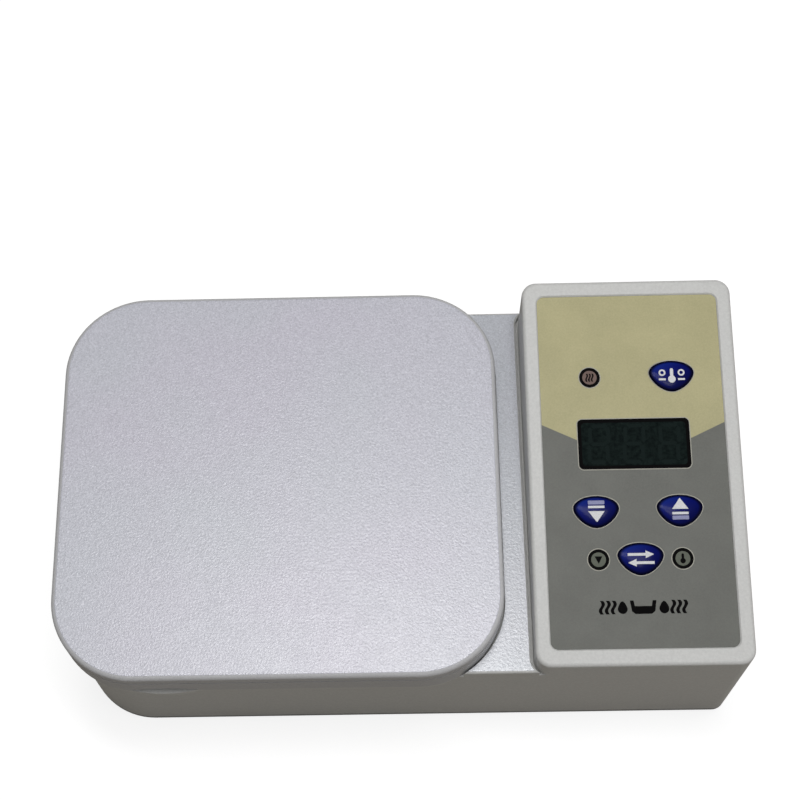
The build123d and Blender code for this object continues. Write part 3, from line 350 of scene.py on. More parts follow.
def phenolic(name, colour):
    """Brown moulding resin with flecks of filler."""
    s = Shader(name)
    flecks = s.cells(0.7 * MM)
    s.put("Base Color", s.mottled(flecks, colour, 0.7, 1.35))
    s.put("Roughness", s.spread(s.noise(2 * MM, 3.0), 0.35, 0.55))
    s.put("Normal", s.bump(s.noise(0.4 * MM, 3.0), 0.02 * MM))
    return s.material


def ink(name, colour, gloss=0.02):
    """Screen-printed ink: a fine grain and slightly uneven cover."""
    s = Shader(name)
    cover = s.noise(0.35 * MM, 3.0)
    s.put("Base Color", s.mottled(s.spread(cover, 0, 1, 0.3, 0.7), colour, 0.88, 1.06))
    s.put("Roughness", s.spread(cover, 0.40, 0.55))
    s.put("Specular IOR Level", gloss)
    s.put("Normal", s.bump(cover, 0.006 * MM))
    return s.material


# ------------------------------------------------------------------ panel geometry

# a key is pressed straight into the panel
PANEL_NORMAL = -Vector(JOINTS["key_up_press"]["axis"]).normalized()
PANEL_RIGHT = Vector((1, 0, 0))
PANEL_UP = PANEL_NORMAL.cross(PANEL_RIGHT)


def extent(node, direction):
    """Lowest and highest reach of a node's vertices along a direction."""
    reach = [vertex.co.dot(direction) for vertex in NODES[node].data.vertices]
    return min(reach), max(reach)


def panel_place(node):
    """A node's centre on the panel, as (right, up) from the overlay's centre."""
    right = sum(extent(node, PANEL_RIGHT)) / 2 - PANEL_CENTRE[0]
    up = sum(extent(node, PANEL_UP)) / 2 - PANEL_CENTRE[1]
    return right, up


PANEL_CENTRE = [sum(extent("control_overlay", axis)) / 2 for axis in (PANEL_RIGHT, PANEL_UP)]
OVERLAY_TOP = extent("control_overlay", PANEL_NORMAL)[1]
WINDOW_SIZE = [high - low for low, high in
               (extent("display_window", axis) for axis in (PANEL_RIGHT, PANEL_UP))]


def on_panel(right, up, height):
    """Point in the frame from panel coordinates; height is above the overlay's face."""
    return (PANEL_RIGHT * (PANEL_CENTRE[0] + right) + PANEL_UP * (PANEL_CENTRE[1] + up)
            + PANEL_NORMAL * (OVERLAY_TOP + height))


def overlay_print(name):
    """Two-tone printed film: beige above a shallow V, grey below it."""
    s = Shader(name)
    beige = srgb(*BEIGE)
    grey = srgb(*GREY)
    right = s.math("ABSOLUTE", s.math("SUBTRACT", s.dot(PANEL_RIGHT), PANEL_CENTRE[0]))
    up = s.math("SUBTRACT", s.dot(PANEL_UP), PANEL_CENTRE[1])
    edge = s.math("ADD", s.math("MULTIPLY", right, V_SLOPE), V_FOOT)
    above = s.spread(s.math("SUBTRACT", up, edge), 0, 1, -V_BLUR, V_BLUR)
    grain = s.noise(0.5 * MM, 3.0, 0.6)
    blotch = s.noise(11 * MM, 3.0, 0.55)
    tone = s.math("ADD", s.spread(grain, 0.94, 1.06, 0.3, 0.7),
                  s.spread(blotch, -0.05, 0.05, 0.3, 0.7))
    flat = s.mix(above, grey, beige)
    s.put("Base Color", s.mix(1.0, flat, tone, "MULTIPLY"))
    s.put("Roughness", s.spread(s.noise(5 * MM, 4.0), 0.38, 0.5))
    s.put("Specular IOR Level", 0.15)
    s.put("Normal", s.bump(s.noise(0.3 * MM, 2.0), 0.008 * MM))
    return s.material


def key_gloss(name):
    """Domed blue key with a navy rim, a painted highlight making it brighter towards the upper left and
    painted shade making it darker lower down.
    """
    s = Shader(name)
    rim = s.attribute("rim")
    # the crown attribute, and the blue ramped from it, carry painted light: painted shade low on the key, a
    # painted highlight towards its upper left
    crown = s.attribute("crown")
    blue = s.ramp(crown, [(0.0, srgb(*KEY_PAINTED_SHADE)), (0.55, srgb(*KEY_BLUE)),
                          (1.0, srgb(*KEY_PAINTED_HIGHLIGHT))])
    s.put("Base Color", s.mix(s.spread(rim, 0, 1, 0.80, 0.92), blue, srgb(*KEY_NAVY)))
    s.put("Roughness", s.spread(s.noise(3 * MM, 4.0), 0.30, 0.40))
    s.put("Specular IOR Level", 0.02)
    s.put("Coat Weight", 0.04)
    s.put("Coat Roughness", 0.10)
    s.put("Normal", s.bump(s.noise(1.2 * MM, 2.0), 0.01 * MM))
    return s.material


def smoked_window(name):
    """Smoked display window: nearly black green with a faint grain."""
    s = Shader(name)
    haze = s.noise(1.3 * MM, 4.0, 0.65)
    s.put("Base Color", s.ramp(haze, [(0.3, srgb(8, 14, 15)), (0.7, srgb(27, 37, 35))]))
    s.put("Roughness", s.spread(s.noise(6 * MM, 4.0), 0.45, 0.55))
    s.put("Specular IOR Level", 0.01)
    s.put("Normal", s.bump(s.noise(0.8 * MM, 3.0), 0.006 * MM))
    return s.material


def indicator_lens(name, colour):
    """Diffusing lens of an indicator light."""
    s = Shader(name)
    swirl = s.noise(0.8 * MM, 3.0)
    s.put("Base Color", s.mottled(swirl, colour, 0.8, 1.2))
    s.put("Roughness", s.spread(swirl, 0.15, 0.3))
    s.put("Transmission Weight", 0.2)
    return s.material


# colours of the printed film and the keys, as display values; two of the key blues are painted shade and a
# painted highlight
BEIGE = (179, 173, 133)
GREY = (108, 109, 104)
KEY_NAVY = (3, 4, 34)
KEY_PAINTED_SHADE = (4, 7, 62)
KEY_BLUE = (8, 18, 100)
KEY_PAINTED_HIGHLIGHT = (22, 46, 138)
V_SLOPE = 0.47
V_FOOT = 0.65 * MM
V_BLUR = 0.1 * MM

# linear colours of the paints, and the heights between which each one is textured
DECK_COLOUR = (0.49, 0.505, 0.55)
CASE_COLOUR = (0.60, 0.60, 0.585)
LID_COLOUR = (0.55, 0.55, 0.61)
RIM_COLOUR = (0.52, 0.52, 0.53)
STEEL = (0.62, 0.62, 0.63)
DECK_STOREY = (52 * MM, 54 * MM)
LID_STOREY = (60 * MM, 80 * MM)

MATERIALS = {
    "case_shell": sparkle_paint("case_paint", DECK_COLOUR, CASE_COLOUR, 0.8 * MM, 0.08 * MM,
                                0.5, 1.0, DECK_STOREY),
    "lid_shell": sparkle_paint("lid_paint", LID_COLOUR, RIM_COLOUR, 0.7 * MM, 0.09 * MM,
                               0.55, 0.8, LID_STOREY),
    "base_plastic": moulded_plastic("base_plastic", srgb(150, 150, 150), 0.55),
    "foot_rubber": rubber("foot_rubber", (0.02, 0.02, 0.02), 0.75),
    "tank_metal": brushed_metal("tank_metal", (0.78, 0.78, 0.79), 0.30, (1, 1, 12)),
    "gasket_silicone": rubber("gasket_silicone", srgb(196, 194, 188), 0.6),
    "heater_silicone": rubber("heater_silicone", srgb(150, 62, 38), 0.6),
    "plated_steel": brushed_metal("plated_steel", STEEL, 0.32, (1, 6, 1)),
    "fibre": fibre_felt("fibre", srgb(225, 218, 202)),
    "overlay_film": overlay_print("overlay_film"),
    "window_smoke": smoked_window("window_smoke"),
    "display_black": moulded_plastic("display_black", srgb(26, 28, 28), 0.4),
    "board_green": circuit_board("board_green"),
    "key_blue": moulded_plastic("key_blue", srgb(*KEY_NAVY), 0.5),
    "plunger_black": moulded_plastic("plunger_black", srgb(22, 22, 22), 0.5),
    "lens_smoke": indicator_lens("lens_smoke", srgb(96, 84, 80)),
    "black_plastic": moulded_plastic("black_plastic", srgb(30, 30, 31), 0.5),
    "rocker_black": moulded_plastic("rocker_black", srgb(22, 22, 23), 0.3),
    "brass_contact": brushed_metal("brass_contact", (0.80, 0.60, 0.28), 0.28, (4, 1, 1)),
    "core_steel": laminated_core("core_steel", (0.30, 0.30, 0.31)),
    "winding_tape": wound_tape("winding_tape", srgb(226, 186, 60)),
    "relay_blue": moulded_plastic("relay_blue", srgb(36, 80, 160), 0.4),
    "terminal_green": moulded_plastic("terminal_green", srgb(40, 130, 70), 0.45),
    "capacitor_sleeve": moulded_plastic("capacitor_sleeve", srgb(24, 30, 62), 0.3),
    "fuse_glass": glass_tube("fuse_glass"),
    "lead_sleeve": wire_sleeve("lead_sleeve", srgb(150, 40, 34)),
    "sensor_sleeve": wire_sleeve("sensor_sleeve", srgb(46, 46, 48)),
    "ribbon_grey": ribbon_strands("ribbon_grey", srgb(150, 152, 156)),
    "cutout_body": phenolic("cutout_body", srgb(84, 54, 40)),
}
WHITE_INK = ink("white_ink", srgb(222, 222, 224))
LAVENDER_INK = ink("lavender_ink", srgb(150, 152, 186))
PALE_INK = ink("pale_ink", srgb(176, 174, 164))
BLACK_INK = ink("black_ink", srgb(12, 11, 12), gloss=0.01)
ROSE_INK = ink("rose_ink", srgb(122, 104, 98))
MOSS_INK = ink("moss_ink", srgb(104, 108, 98))
DOME = key_gloss("key_dome")
SEGMENT = ink("unlit_segment", srgb(25, 34, 33), gloss=0.01)


def dress_cad_nodes():
    """Give every CAD node its slot's material."""
    slots = {part["node"]: part["material_slot"] for part in frame["record"]["subparts"]}
    for name, node in NODES.items():
        node.data.materials.clear()
        node.data.materials.append(MATERIALS[slots[name]])


# ------------------------------------------------------------------ mesh helpers


def piece(name, bm, material, body):
    """Turn a bmesh into a named piece that rides on a body."""
    bmesh.ops.recalc_face_normals(bm, faces=bm.faces)
    mesh = bpy.data.meshes.new(name)
    bm.to_mesh(mesh)
    bm.free()
    mesh.materials.append(material)
    made = bpy.data.objects.new(name, mesh)
    bpy.context.scene.collection.objects.link(made)
    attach(made, body)
    return made


def circle(radius, steps=48):
    """Round outline."""
    turns = [2 * math.pi * i / steps for i in range(steps)]
    return [(radius * math.cos(angle), radius * math.sin(angle)) for angle in turns]


def moved(outline, right, up):
    """The outline carried to another place."""
    return [(x + right, y + up) for x, y in outline]


def rounded_rectangle(width, height, radius, steps=8):
    """Counter-clockwise outline with arcs at the corners."""
    points = []
    for quarter in range(4):
        middle_x = (width / 2 - radius) * (1 if quarter in (0, 3) else -1)
        middle_y = (height / 2 - radius) * (1 if quarter in (0, 1) else -1)
        for step in range(steps + 1):
            angle = math.pi / 2 * (quarter + step / steps)
            x = middle_x + radius * math.cos(angle)
            y = middle_y + radius * math.sin(angle)
            points.append((x, y))
    return points


def bezier(points, steps):
    """Points on a cubic curve, without its last end."""
    made = []
    for step in range(steps):
        t = step / steps
        weights = ((1 - t) ** 3, 3 * t * (1 - t) ** 2, 3 * t * t * (1 - t), t ** 3)
        made.append(tuple(sum(w * p[axis] for w, p in zip(weights, points)) for axis in (0, 1)))
    return made


def key_outline(width, height):
    """Shield shape: a shallow top arc over a deeper, narrower lower arc."""
    steps = 16
    side, top = width / 2, height / 2
    shoulder = 0.23 * top
    lower = [(0, -top), (0.46 * side, -top), (side, -0.24 * top), (side, shoulder)]
    upper = [(side, shoulder), (side, shoulder + 0.55 * (top - shoulder)), (0.55 * side, top),
             (0, top)]
    right = bezier(lower, steps) + bezier(upper, steps)
    left = [(-x, y) for x, y in reversed(right[1:])]
    return right + [(0, top)] + left


def add_prism(bm, outline, low, high, place, surface=on_panel):
    """Closed prism on the panel between two heights above the overlay."""
    rings = [[bm.verts.new(surface(place[0] + x, place[1] + y, h)) for x, y in outline]
             for h in (low, high)]
    count = len(outline)
    bm.faces.new(rings[1])
    bm.faces.new(list(reversed(rings[0])))
    for i in range(count):
        j = (i + 1) % count
        bm.faces.new((rings[0][i], rings[0][j], rings[1][j], rings[1][i]))


def add_band(bm, outer, inner, low, high, place, surface=on_panel):
    """Closed ring between two outlines that have the same number of points."""
    loops = [[bm.verts.new(surface(place[0] + x, place[1] + y, h)) for x, y in outline]
             for outline, h in ((outer, low), (outer, high), (inner, high), (inner, low))]
    count = len(outer)
    for k in range(4):
        near, far = loops[k], loops[(k + 1) % 4]
        for i in range(count):
            j = (i + 1) % count
            bm.faces.new((near[i], near[j], far[j], far[i]))


# ------------------------------------------------------------------ printed overlay

PRINT = 0.04 * MM
PALE_LINE = 0.26 * MM
KEY_GAP = 0.32 * MM
WINDOW_CORNER = 1.5 * MM
WINDOW_FRAME = 0.75 * MM
WINDOW_OVERHANG = 0.35 * MM
RING_OUTER = 3.15 * MM
RING_INNER = 2.2 * MM
ROW_UP = -42.3 * MM
ROW_HEIGHT = 4.0 * MM
DROP_SIDE = 6.1 * MM
WAVE_SIDE = 8.7 * MM
WAVE_PITCH = 1.75 * MM
KEYS = ("unit", "down", "up", "mode")
LEDS = ("heat", "set", "actual")


def key_size():
    """Width and height of a key's crown, which stands above the overlay."""
    clear = OVERLAY_TOP + 0.1 * MM
    crown = [vertex.co for vertex in NODES["key_up"].data.vertices
             if vertex.co.dot(PANEL_NORMAL) > clear]
    spans = [[point.dot(axis) for point in crown] for axis in (PANEL_RIGHT, PANEL_UP)]
    return [max(span) - min(span) for span in spans]


KEY_WIDTH, KEY_HEIGHT = key_size()


def key_borders():
    """Thin pale line printed round each key."""
    bm = bmesh.new()
    reach = KEY_GAP + 2 * PALE_LINE
    inner = key_outline(KEY_WIDTH + KEY_GAP, KEY_HEIGHT + KEY_GAP)
    outer = key_outline(KEY_WIDTH + reach, KEY_HEIGHT + reach)
    for name in KEYS:
        add_band(bm, outer, inner, 0, PRINT, panel_place(f"key_{name}"))
    piece("key_borders", bm, PALE_INK, "case_body")


def window_border():
    """Black frame round the display, with a thin pale line outside it."""
    place = panel_place("display_window")

    def outline(reach, corner):
        """Outline of the window, moved outwards by a reach."""
        return rounded_rectangle(*(size + 2 * reach for size in WINDOW_SIZE), corner)

    inside = outline(-WINDOW_FRAME, WINDOW_CORNER - WINDOW_FRAME / 2)
    edge = outline(WINDOW_OVERHANG, WINDOW_CORNER)
    outside = outline(WINDOW_OVERHANG + PALE_LINE, WINDOW_CORNER + PALE_LINE)
    bm = bmesh.new()
    add_band(bm, edge, inside, 0, PRINT, place)
    piece("window_frame", bm, BLACK_INK, "case_body")
    bm = bmesh.new()
    add_band(bm, outside, edge, 0, PRINT, place)
    piece("window_outline", bm, PALE_INK, "case_body")


def indicator_rings():
    """Black ring with a tinted centre and a pale outline over each indicator light."""
    rings = bmesh.new()
    pale = bmesh.new()
    for name in LEDS:
        place = panel_place(f"led_{name}")
        centre = bmesh.new()
        add_prism(centre, circle(RING_INNER), 0, 0.6 * PRINT, place)
        tint = ROSE_INK if name == "heat" else MOSS_INK
        piece(f"indicator_{name}_centre", centre, tint, "case_body")
        add_band(rings, circle(RING_OUTER), circle(RING_INNER), 0, PRINT, place)
        add_band(pale, circle(RING_OUTER + PALE_LINE), circle(RING_OUTER), 0, PRINT, place)
        for shape in INDICATOR_SYMBOLS[name]:
            add_prism(rings, shape, 0, PRINT, place)
    piece("indicator_rings", rings, BLACK_INK, "case_body")
    piece("indicator_outlines", pale, PALE_INK, "case_body")


def drop_outline(half):
    """Drop with a round foot and a pointed top, about two halves tall."""
    round_foot = moved(circle(0.72 * half, 24), 0, -0.25 * half)
    return [(x * (1 - 0.55 * max(0, y) / half), y * (1.9 if y > 0 else 1)) for x, y in round_foot]


def bath_outline(half):
    """Section through an open bath with a rim, two halves tall."""
    right = [(2.4 * MM, -half), (3.4 * MM, -0.6 * half), (3.9 * MM, half), (2.8 * MM, half),
             (2.5 * MM, 0.15 * half)]
    return [(-x, y) for x, y in reversed(right)] + right


def pictograms():
    """Generic row of symbols at the foot of the panel: a bath between drops and heat waves."""
    half = ROW_HEIGHT / 2
    bm = bmesh.new()
    add_prism(bm, bath_outline(half), 0, PRINT, (0, ROW_UP))
    for side in (-1, 1):
        add_prism(bm, drop_outline(half), 0, PRINT, (side * DROP_SIDE, ROW_UP))
        for index in range(3):
            wave = wavy_bar(1.0 * MM, ROW_HEIGHT, 0.45 * MM)
            across = side * (WAVE_SIDE + WAVE_PITCH * index)
            add_prism(bm, wave, 0, PRINT, (across, ROW_UP))
    piece("panel_pictograms", bm, BLACK_INK, "case_body")


def wavy_bar(width, height, sway):
    """Upright bar that sways once from side to side."""
    steps = 12
    rise = [height * (i / steps - 0.5) for i in range(steps + 1)]
    bend = [sway * math.sin(2 * math.pi * y / height) for y in rise]
    right = [(b + width / 2, y) for b, y in zip(bend, rise)]
    left = [(b - width / 2, y) for b, y in zip(bend, rise)]
    return right + left[::-1]


def arc(radius, start, sweep, steps, up=0.0):
    """Points on a circle round a place above the middle, ends included."""
    angles = [start + sweep * i / steps for i in range(steps + 1)]
    return [(radius * math.cos(angle), up + radius * math.sin(angle)) for angle in angles]


def thermometer(tall, stem, bulb):
    """Upright stem with a round end over a larger bulb."""
    foot = bulb - tall / 2
    top = tall / 2 - stem / 2
    opening = math.asin(stem / 2 / bulb)
    outline = arc(bulb, math.pi / 2 - opening, 2 * opening - 2 * math.pi, 20, foot)
    return outline + arc(stem / 2, math.pi, -math.pi, 8, top)


# heat waves for the heater, a marker for the set temperature, a thermometer for the actual one
INDICATOR_SYMBOLS = {
    "heat": [moved(wavy_bar(0.5 * MM, 2.6 * MM, 0.22 * MM), step * 0.85 * MM, 0)
             for step in (-1, 0, 1)],
    "set": [[(-1.15 * MM, 1.0 * MM), (0, -1.25 * MM), (1.15 * MM, 1.0 * MM)]],
    "actual": [thermometer(3.0 * MM, 0.75 * MM, 0.8 * MM)],
}

# ------------------------------------------------------------------ keys

DOME_RISE = 0.5 * MM
DOME_OVERHANG = 0.05 * MM
DOME_SKIRT = 0.4 * MM
DOME_SINK = 0.05 * MM
DOME_RINGS = 14
SYMBOL_SINK = 0.25 * MM
SYMBOL_STAND = 0.03 * MM

# measures of the keys' symbols, from the middle of the key; the arrow's bar and tail are
# (distance behind its middle, thickness), and a dash is (width, height, middle)
ARROW_MIDDLE = 0.25 * MM
ARROW_WIDTH = 4.9 * MM
ARROW_FOOT = 0.13 * MM
ARROW_TIP = 3.5 * MM
ARROW_BAR = (1.15 * MM, 0.75 * MM)
ARROW_TAIL = (2.5 * MM, 1.2 * MM)
SWAP_HALF = 3.9 * MM
SWAP_NECK = 1.4 * MM
SWAP_ROW = 1.25 * MM
SWAP_SHAFT = 0.4 * MM
SWAP_HEAD = 1.15 * MM
DEGREE_PLACE = (2.9 * MM, 0.9 * MM)
DEGREE_RADII = (1.05 * MM, 0.55 * MM)
DASH = (2.1 * MM, 0.6 * MM, -1.2 * MM)


def dome_height(scale):
    """Crown profile: a rolled rim and a gently domed middle."""
    return DOME_RISE * (1 - scale ** 5) * (0.7 + 0.3 * (1 - scale ** 2))


def key_dome(name):
    """Glossy crowned cap that covers the top of a key; returns its lowest height."""
    node = f"key_{name}"
    right, up = panel_place(node)
    base = extent(node, PANEL_NORMAL)[1] - OVERLAY_TOP - DOME_SINK
    outline = key_outline(KEY_WIDTH + 2 * DOME_OVERHANG, KEY_HEIGHT + 2 * DOME_OVERHANG)
    bm = bmesh.new()
    rim = bm.verts.layers.float.new("rim")
    crown = bm.verts.layers.float.new("crown")

    def ring(scale, height):
        """Loop of points at a share of the outline's size."""
        made = []
        for x, y in outline:
            vertex = bm.verts.new(on_panel(right + scale * x, up + scale * y, height))
            vertex[rim] = scale
            # each point's tone is painted light: a painted highlight at the upper left, painted shade at the
            # lower right
            vertex[crown] = painted_light_tone(scale * x, scale * y)
            made.append(vertex)
        return made

    loops = [ring(1.0, base - DOME_SKIRT)]
    for index in range(DOME_RINGS):
        scale = 1 - index / DOME_RINGS
        loops.append(ring(scale, base + dome_height(scale)))
    for near, far in zip(loops, loops[1:]):
        for i in range(len(near)):
            j = (i + 1) % len(near)
            bm.faces.new((near[i], near[j], far[j], far[i]))
    bm.faces.new(loops[-1])
    bm.faces.new(list(reversed(loops[0])))
    made = piece(f"{node}_dome", bm, DOME, f"{node}_body")
    for face in made.data.polygons:
        face.use_smooth = True
    return base


def painted_light_tone(x, y):
    """Painted highlight: brighter blue towards the key's upper left; painted shade: darker towards its lower
    right.
    """
    lean = 0.75 * y / (KEY_HEIGHT / 2) - 0.55 * x / (KEY_WIDTH / 2)
    return max(0.0, min(1.0, 0.42 + 0.5 * lean))


def bar(width, height, middle):
    """Level bar with softened corners."""
    return moved(rounded_rectangle(width, height, 0.2 * height, 3), 0, middle)


def arrow_glyph(direction):
    """Triangle and a bar behind it; direction is +1 for up and -1 for down."""
    foot = ARROW_MIDDLE + ARROW_FOOT * direction
    triangle = [(-ARROW_WIDTH / 2, foot), (ARROW_WIDTH / 2, foot),
                (0, ARROW_MIDDLE + ARROW_TIP * direction)]
    return [triangle, arrow_bar(direction, *ARROW_BAR)]


def arrow_bar(direction, distance, thickness):
    """Bar across the arrow, some way behind its middle."""
    return bar(ARROW_WIDTH, thickness, ARROW_MIDDLE - distance * direction)


def swap_arrows():
    """Two arrows that point opposite ways."""
    shapes = []
    for side in (-1, 1):
        row = side * SWAP_ROW
        shaft = [(-SWAP_HALF, row - SWAP_SHAFT), (SWAP_NECK, row - SWAP_SHAFT),
                 (SWAP_NECK, row + SWAP_SHAFT), (-SWAP_HALF, row + SWAP_SHAFT)]
        head = [(SWAP_NECK, row - SWAP_HEAD), (SWAP_HALF, row), (SWAP_NECK, row + SWAP_HEAD)]
        shapes += [[(side * x, y) for x, y in shape] for shape in (shaft, head)]
    return shapes


def key_print(name, part, material, base, prisms, bands=()):
    """Printed symbol on a key's crown, lifted to follow the dome."""
    node = f"key_{name}"
    place = panel_place(node)
    bm = bmesh.new()
    low = base + SYMBOL_SINK
    high = base + DOME_RISE + SYMBOL_STAND
    for shape in prisms:
        add_prism(bm, shape, low, high, place)
    for outer, inner in bands:
        add_band(bm, outer, inner, low, high, place)
    piece(f"{node}_{part}", bm, material, f"{node}_body")


def keypad():
    """Domes and symbols: arrows, a swap sign, and a thermometer between degree rings."""
    across, up = DEGREE_PLACE
    sides = (-across, across)
    rings = [circle(radius, 24) for radius in DEGREE_RADII]
    degrees = [[moved(ring, side, up) for ring in rings] for side in sides]
    dashes = [moved(bar(*DASH), side, 0) for side in sides]
    symbols = {
        "unit": ([thermometer(4.6 * MM, 1.0 * MM, 1.15 * MM), *dashes], degrees),
        "down": (arrow_glyph(-1), ()),
        "up": (arrow_glyph(1), ()),
        "mode": (swap_arrows(), ()),
    }
    tails = {"down": arrow_bar(-1, *ARROW_TAIL), "up": arrow_bar(1, *ARROW_TAIL)}
    for name in KEYS:
        base = key_dome(name)
        key_print(name, "symbol", WHITE_INK, base, *symbols[name])
        if name in tails:
            key_print(name, "tail", LAVENDER_INK, base, [tails[name]])


# ------------------------------------------------------------------ rocker switch

ROCKER_PIVOT = Vector(JOINTS["rocker_turn"]["pos_m"])
ROCKER_REST = math.radians(-10)
ROCKER_HALF = 7.6 * MM
ROCKER_FACE = 3.0 * MM
ROCKER_DISH = 0.4 * MM
MARK_SIDE = 4.2 * MM
ON_BAR = (0.7 * MM, 3.4 * MM)
OFF_RADII = (1.7 * MM, 1.1 * MM)


def on_rocker(across, up, lift):
    """World place of a point on the rocker's dished face."""
    face = ROCKER_FACE + ROCKER_DISH * (across / ROCKER_HALF) ** 2
    point = Vector((across, face + lift, up))
    point.rotate(Euler((0, 0, ROCKER_REST)))
    return ROCKER_PIVOT + point


def rocker_marks():
    """On bar and off ring on the two halves of the rocker."""
    bm = bmesh.new()
    outer, inner = (circle(radius) for radius in OFF_RADII)
    add_prism(bm, bar(*ON_BAR, 0), -PRINT, PRINT, (-MARK_SIDE, 0), on_rocker)
    add_band(bm, outer, inner, -PRINT, PRINT, (MARK_SIDE, 0), on_rocker)
    piece("rocker_marks", bm, WHITE_INK, "rocker_body")


# ------------------------------------------------------------------ display digits

DIGIT_HEIGHT = 12.4 * MM
DIGIT_WIDTH = 6.6 * MM
DIGIT_PITCH = 10.6 * MM
DIGIT_SLANT = 0.08
SEGMENT_WIDTH = 1.15 * MM
POINT_RADIUS = 0.7 * MM
POINT_GAP = 1.3 * MM


def digit_segments():
    """Unlit seven-segment digits, faint behind the window's face."""
    right, up = panel_place("display_window")
    face = extent("display_window", PANEL_NORMAL)[1] - OVERLAY_TOP - 0.5 * PRINT
    reach = DIGIT_WIDTH / 2 - SEGMENT_WIDTH / 2
    rise = DIGIT_HEIGHT / 2 - SEGMENT_WIDTH / 2
    level = lozenge(DIGIT_WIDTH - 1.6 * SEGMENT_WIDTH, 0)
    upright = lozenge(rise - 0.35 * SEGMENT_WIDTH, math.pi / 2)
    places = [(level, 0, y) for y in (-rise, 0, rise)]
    places += [(upright, side * reach, half * rise / 2) for side in (-1, 1) for half in (-1, 1)]
    bm = bmesh.new()
    for digit in (-1, 0, 1):
        middle = right + digit * DIGIT_PITCH
        for shape, x, y in places:
            place = (middle + x + DIGIT_SLANT * y, up + y)
            add_prism(bm, shape, face, face + PRINT, place)
        place = (middle + DIGIT_WIDTH / 2 + POINT_GAP, up - rise)
        add_prism(bm, circle(POINT_RADIUS, 20), face, face + PRINT, place)
    piece("display_segments", bm, SEGMENT, "case_body")


def lozenge(length, turn):
    """Bar with pointed ends, turned about its middle."""
    half = length / 2
    side = SEGMENT_WIDTH / 2
    neck = half - side
    points = [(-half, 0), (-neck, -side), (neck, -side), (half, 0), (neck, side), (-neck, side)]
    cosine, sine = math.cos(turn), math.sin(turn)
    return [(cosine * x - sine * y, sine * x + cosine * y) for x, y in points]


# ------------------------------------------------------------------ stage, light, camera

FLOOR_REACH = 6.0
SHADED_FLOOR = (0.30, 0.75)
FLOOR_GLOW = 0.82
FLOOR_BOUNCE = (0.335, 0.308, 0.266, 1)
BACKDROP = (0.97, 0.97, 0.97, 1)
LIGHT_TARGET = 0.05

# set so that the case, the lid and the panel stand in the frame as they do in the photo
CAMERA_PLACE = (0.00054, -0.18555, 0.55374)
CAMERA_TURN = (23.294, 1.427, -0.525)
CAMERA_LENS = 77.7
CAMERA_SENSOR = 36.0
CAMERA_SHIFT = (0.0438, -0.0020)


def floor():
    """Pale floor: white where the camera sees it, but a dim reflector for the object."""
    s = Shader("floor_white")
    nodes = s.tree.nodes
    speck = s.noise(0.02, 4.0)
    s.put("Base Color", s.mix(speck, (0.30, 0.30, 0.30), (0.33, 0.33, 0.33)))
    s.put("Roughness", 1.0)
    s.put("Specular IOR Level", 0.0)
    s.put("Emission Color", (1, 1, 1))
    s.put("Emission Strength", FLOOR_GLOW)
    dim = nodes.new("ShaderNodeBsdfDiffuse")
    dim.inputs["Color"].default_value = FLOOR_BOUNCE
    far = nodes.new("ShaderNodeEmission")
    far.inputs["Color"].default_value = BACKDROP
    reach = nodes.new("ShaderNodeVectorMath")
    reach.operation = "LENGTH"
    s.link(s.place, reach.inputs[0])
    fade = s.spread(reach.outputs["Value"], 0, 1, *SHADED_FLOOR)
    near_or_far = blend_shaders(s.tree, fade, s.bsdf.outputs["BSDF"], far.outputs["Emission"])
    camera_ray = nodes.new("ShaderNodeLightPath").outputs["Is Camera Ray"]
    seen = blend_shaders(s.tree, camera_ray, dim.outputs["BSDF"], near_or_far)
    s.link(seen, nodes["Material Output"].inputs["Surface"])

    mesh = bpy.data.meshes.new("floor")
    quarters = ((-1, -1), (1, -1), (1, 1), (-1, 1))
    corners = [(x * FLOOR_REACH, y * FLOOR_REACH, 0) for x, y in quarters]
    mesh.from_pydata(corners, [], [(0, 1, 2, 3)])
    mesh.materials.append(s.material)
    plane = bpy.data.objects.new("floor", mesh)
    bpy.context.scene.collection.objects.link(plane)


def blend_shaders(tree, factor, first, second):
    """Shader between two shaders."""
    node = tree.nodes.new("ShaderNodeMixShader")
    for source, target in zip((factor, first, second), node.inputs):
        tree.links.new(source, target)
    return node.outputs["Shader"]


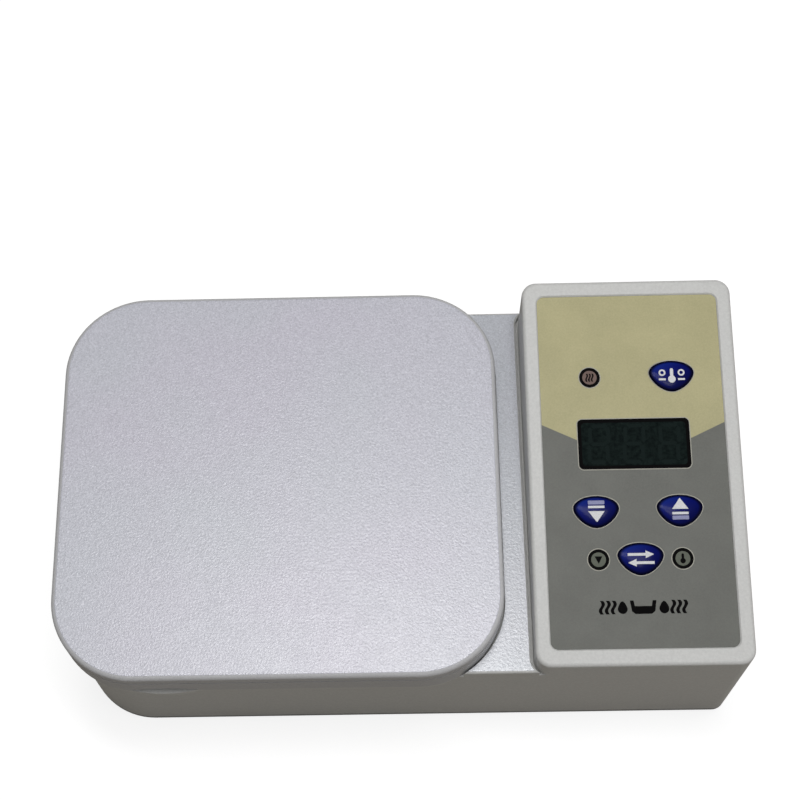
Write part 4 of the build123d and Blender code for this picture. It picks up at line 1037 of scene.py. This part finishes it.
def softbox(name, place, size, power):
    """Rectangular lamp, in watts, that faces the object."""
    light = bpy.data.lights.new(name, "AREA")
    light.shape = "RECTANGLE"
    light.size, light.size_y = size
    light.energy = power
    lamp = bpy.data.objects.new(name, light)
    lamp.location = place
    aim = Vector((0, 0, LIGHT_TARGET)) - Vector(place)
    lamp.rotation_euler = aim.to_track_quat("-Z", "Y").to_euler()
    bpy.context.scene.collection.objects.link(lamp)


def world_light(horizon, zenith):
    """White backdrop, over a dome that grows brighter from its horizon to its zenith."""
    world = bpy.data.worlds.new("studio")
    world.use_nodes = True
    tree = world.node_tree
    nodes = tree.nodes
    split = nodes.new("ShaderNodeSeparateXYZ")
    tree.links.new(nodes.new("ShaderNodeTexCoord").outputs["Generated"], split.inputs[0])
    height = nodes.new("ShaderNodeMapRange")
    height.inputs["To Min"].default_value = horizon
    height.inputs["To Max"].default_value = zenith
    tree.links.new(split.outputs["Z"], height.inputs["Value"])
    dome = nodes["Background"]
    dome.inputs["Color"].default_value = (1, 1, 1, 1)
    tree.links.new(height.outputs["Result"], dome.inputs["Strength"])
    backdrop = nodes.new("ShaderNodeBackground")
    backdrop.inputs["Color"].default_value = BACKDROP
    camera_ray = nodes.new("ShaderNodeLightPath").outputs["Is Camera Ray"]
    seen = blend_shaders(tree, camera_ray, dome.outputs[0], backdrop.outputs[0])
    tree.links.new(seen, nodes["World Output"].inputs["Surface"])
    bpy.context.scene.world = world


def camera():
    """Steep three-quarter view from above the front edge."""
    lens = bpy.data.cameras.new("camera")
    lens.lens = CAMERA_LENS
    lens.sensor_width = CAMERA_SENSOR
    lens.shift_x, lens.shift_y = CAMERA_SHIFT
    lens.clip_start = 0.01
    view = bpy.data.objects.new("camera", lens)
    view.location = CAMERA_PLACE
    view.rotation_euler = Euler([math.radians(angle) for angle in CAMERA_TURN])
    bpy.context.scene.collection.objects.link(view)
    bpy.context.scene.camera = view


dress_cad_nodes()
key_borders()
window_border()
indicator_rings()
pictograms()
keypad()
rocker_marks()
digit_segments()
floor()
world_light(horizon=0.08, zenith=0.42)
softbox("key_light", place=(0.05, 0.085, 1.2), size=(0.50, 0.20), power=6.3)
softbox("side_light", place=(0.90, -0.35, 0.80), size=(0.50, 0.50), power=1.6)
bpy.context.scene.view_settings.view_transform = "Standard"
camera()
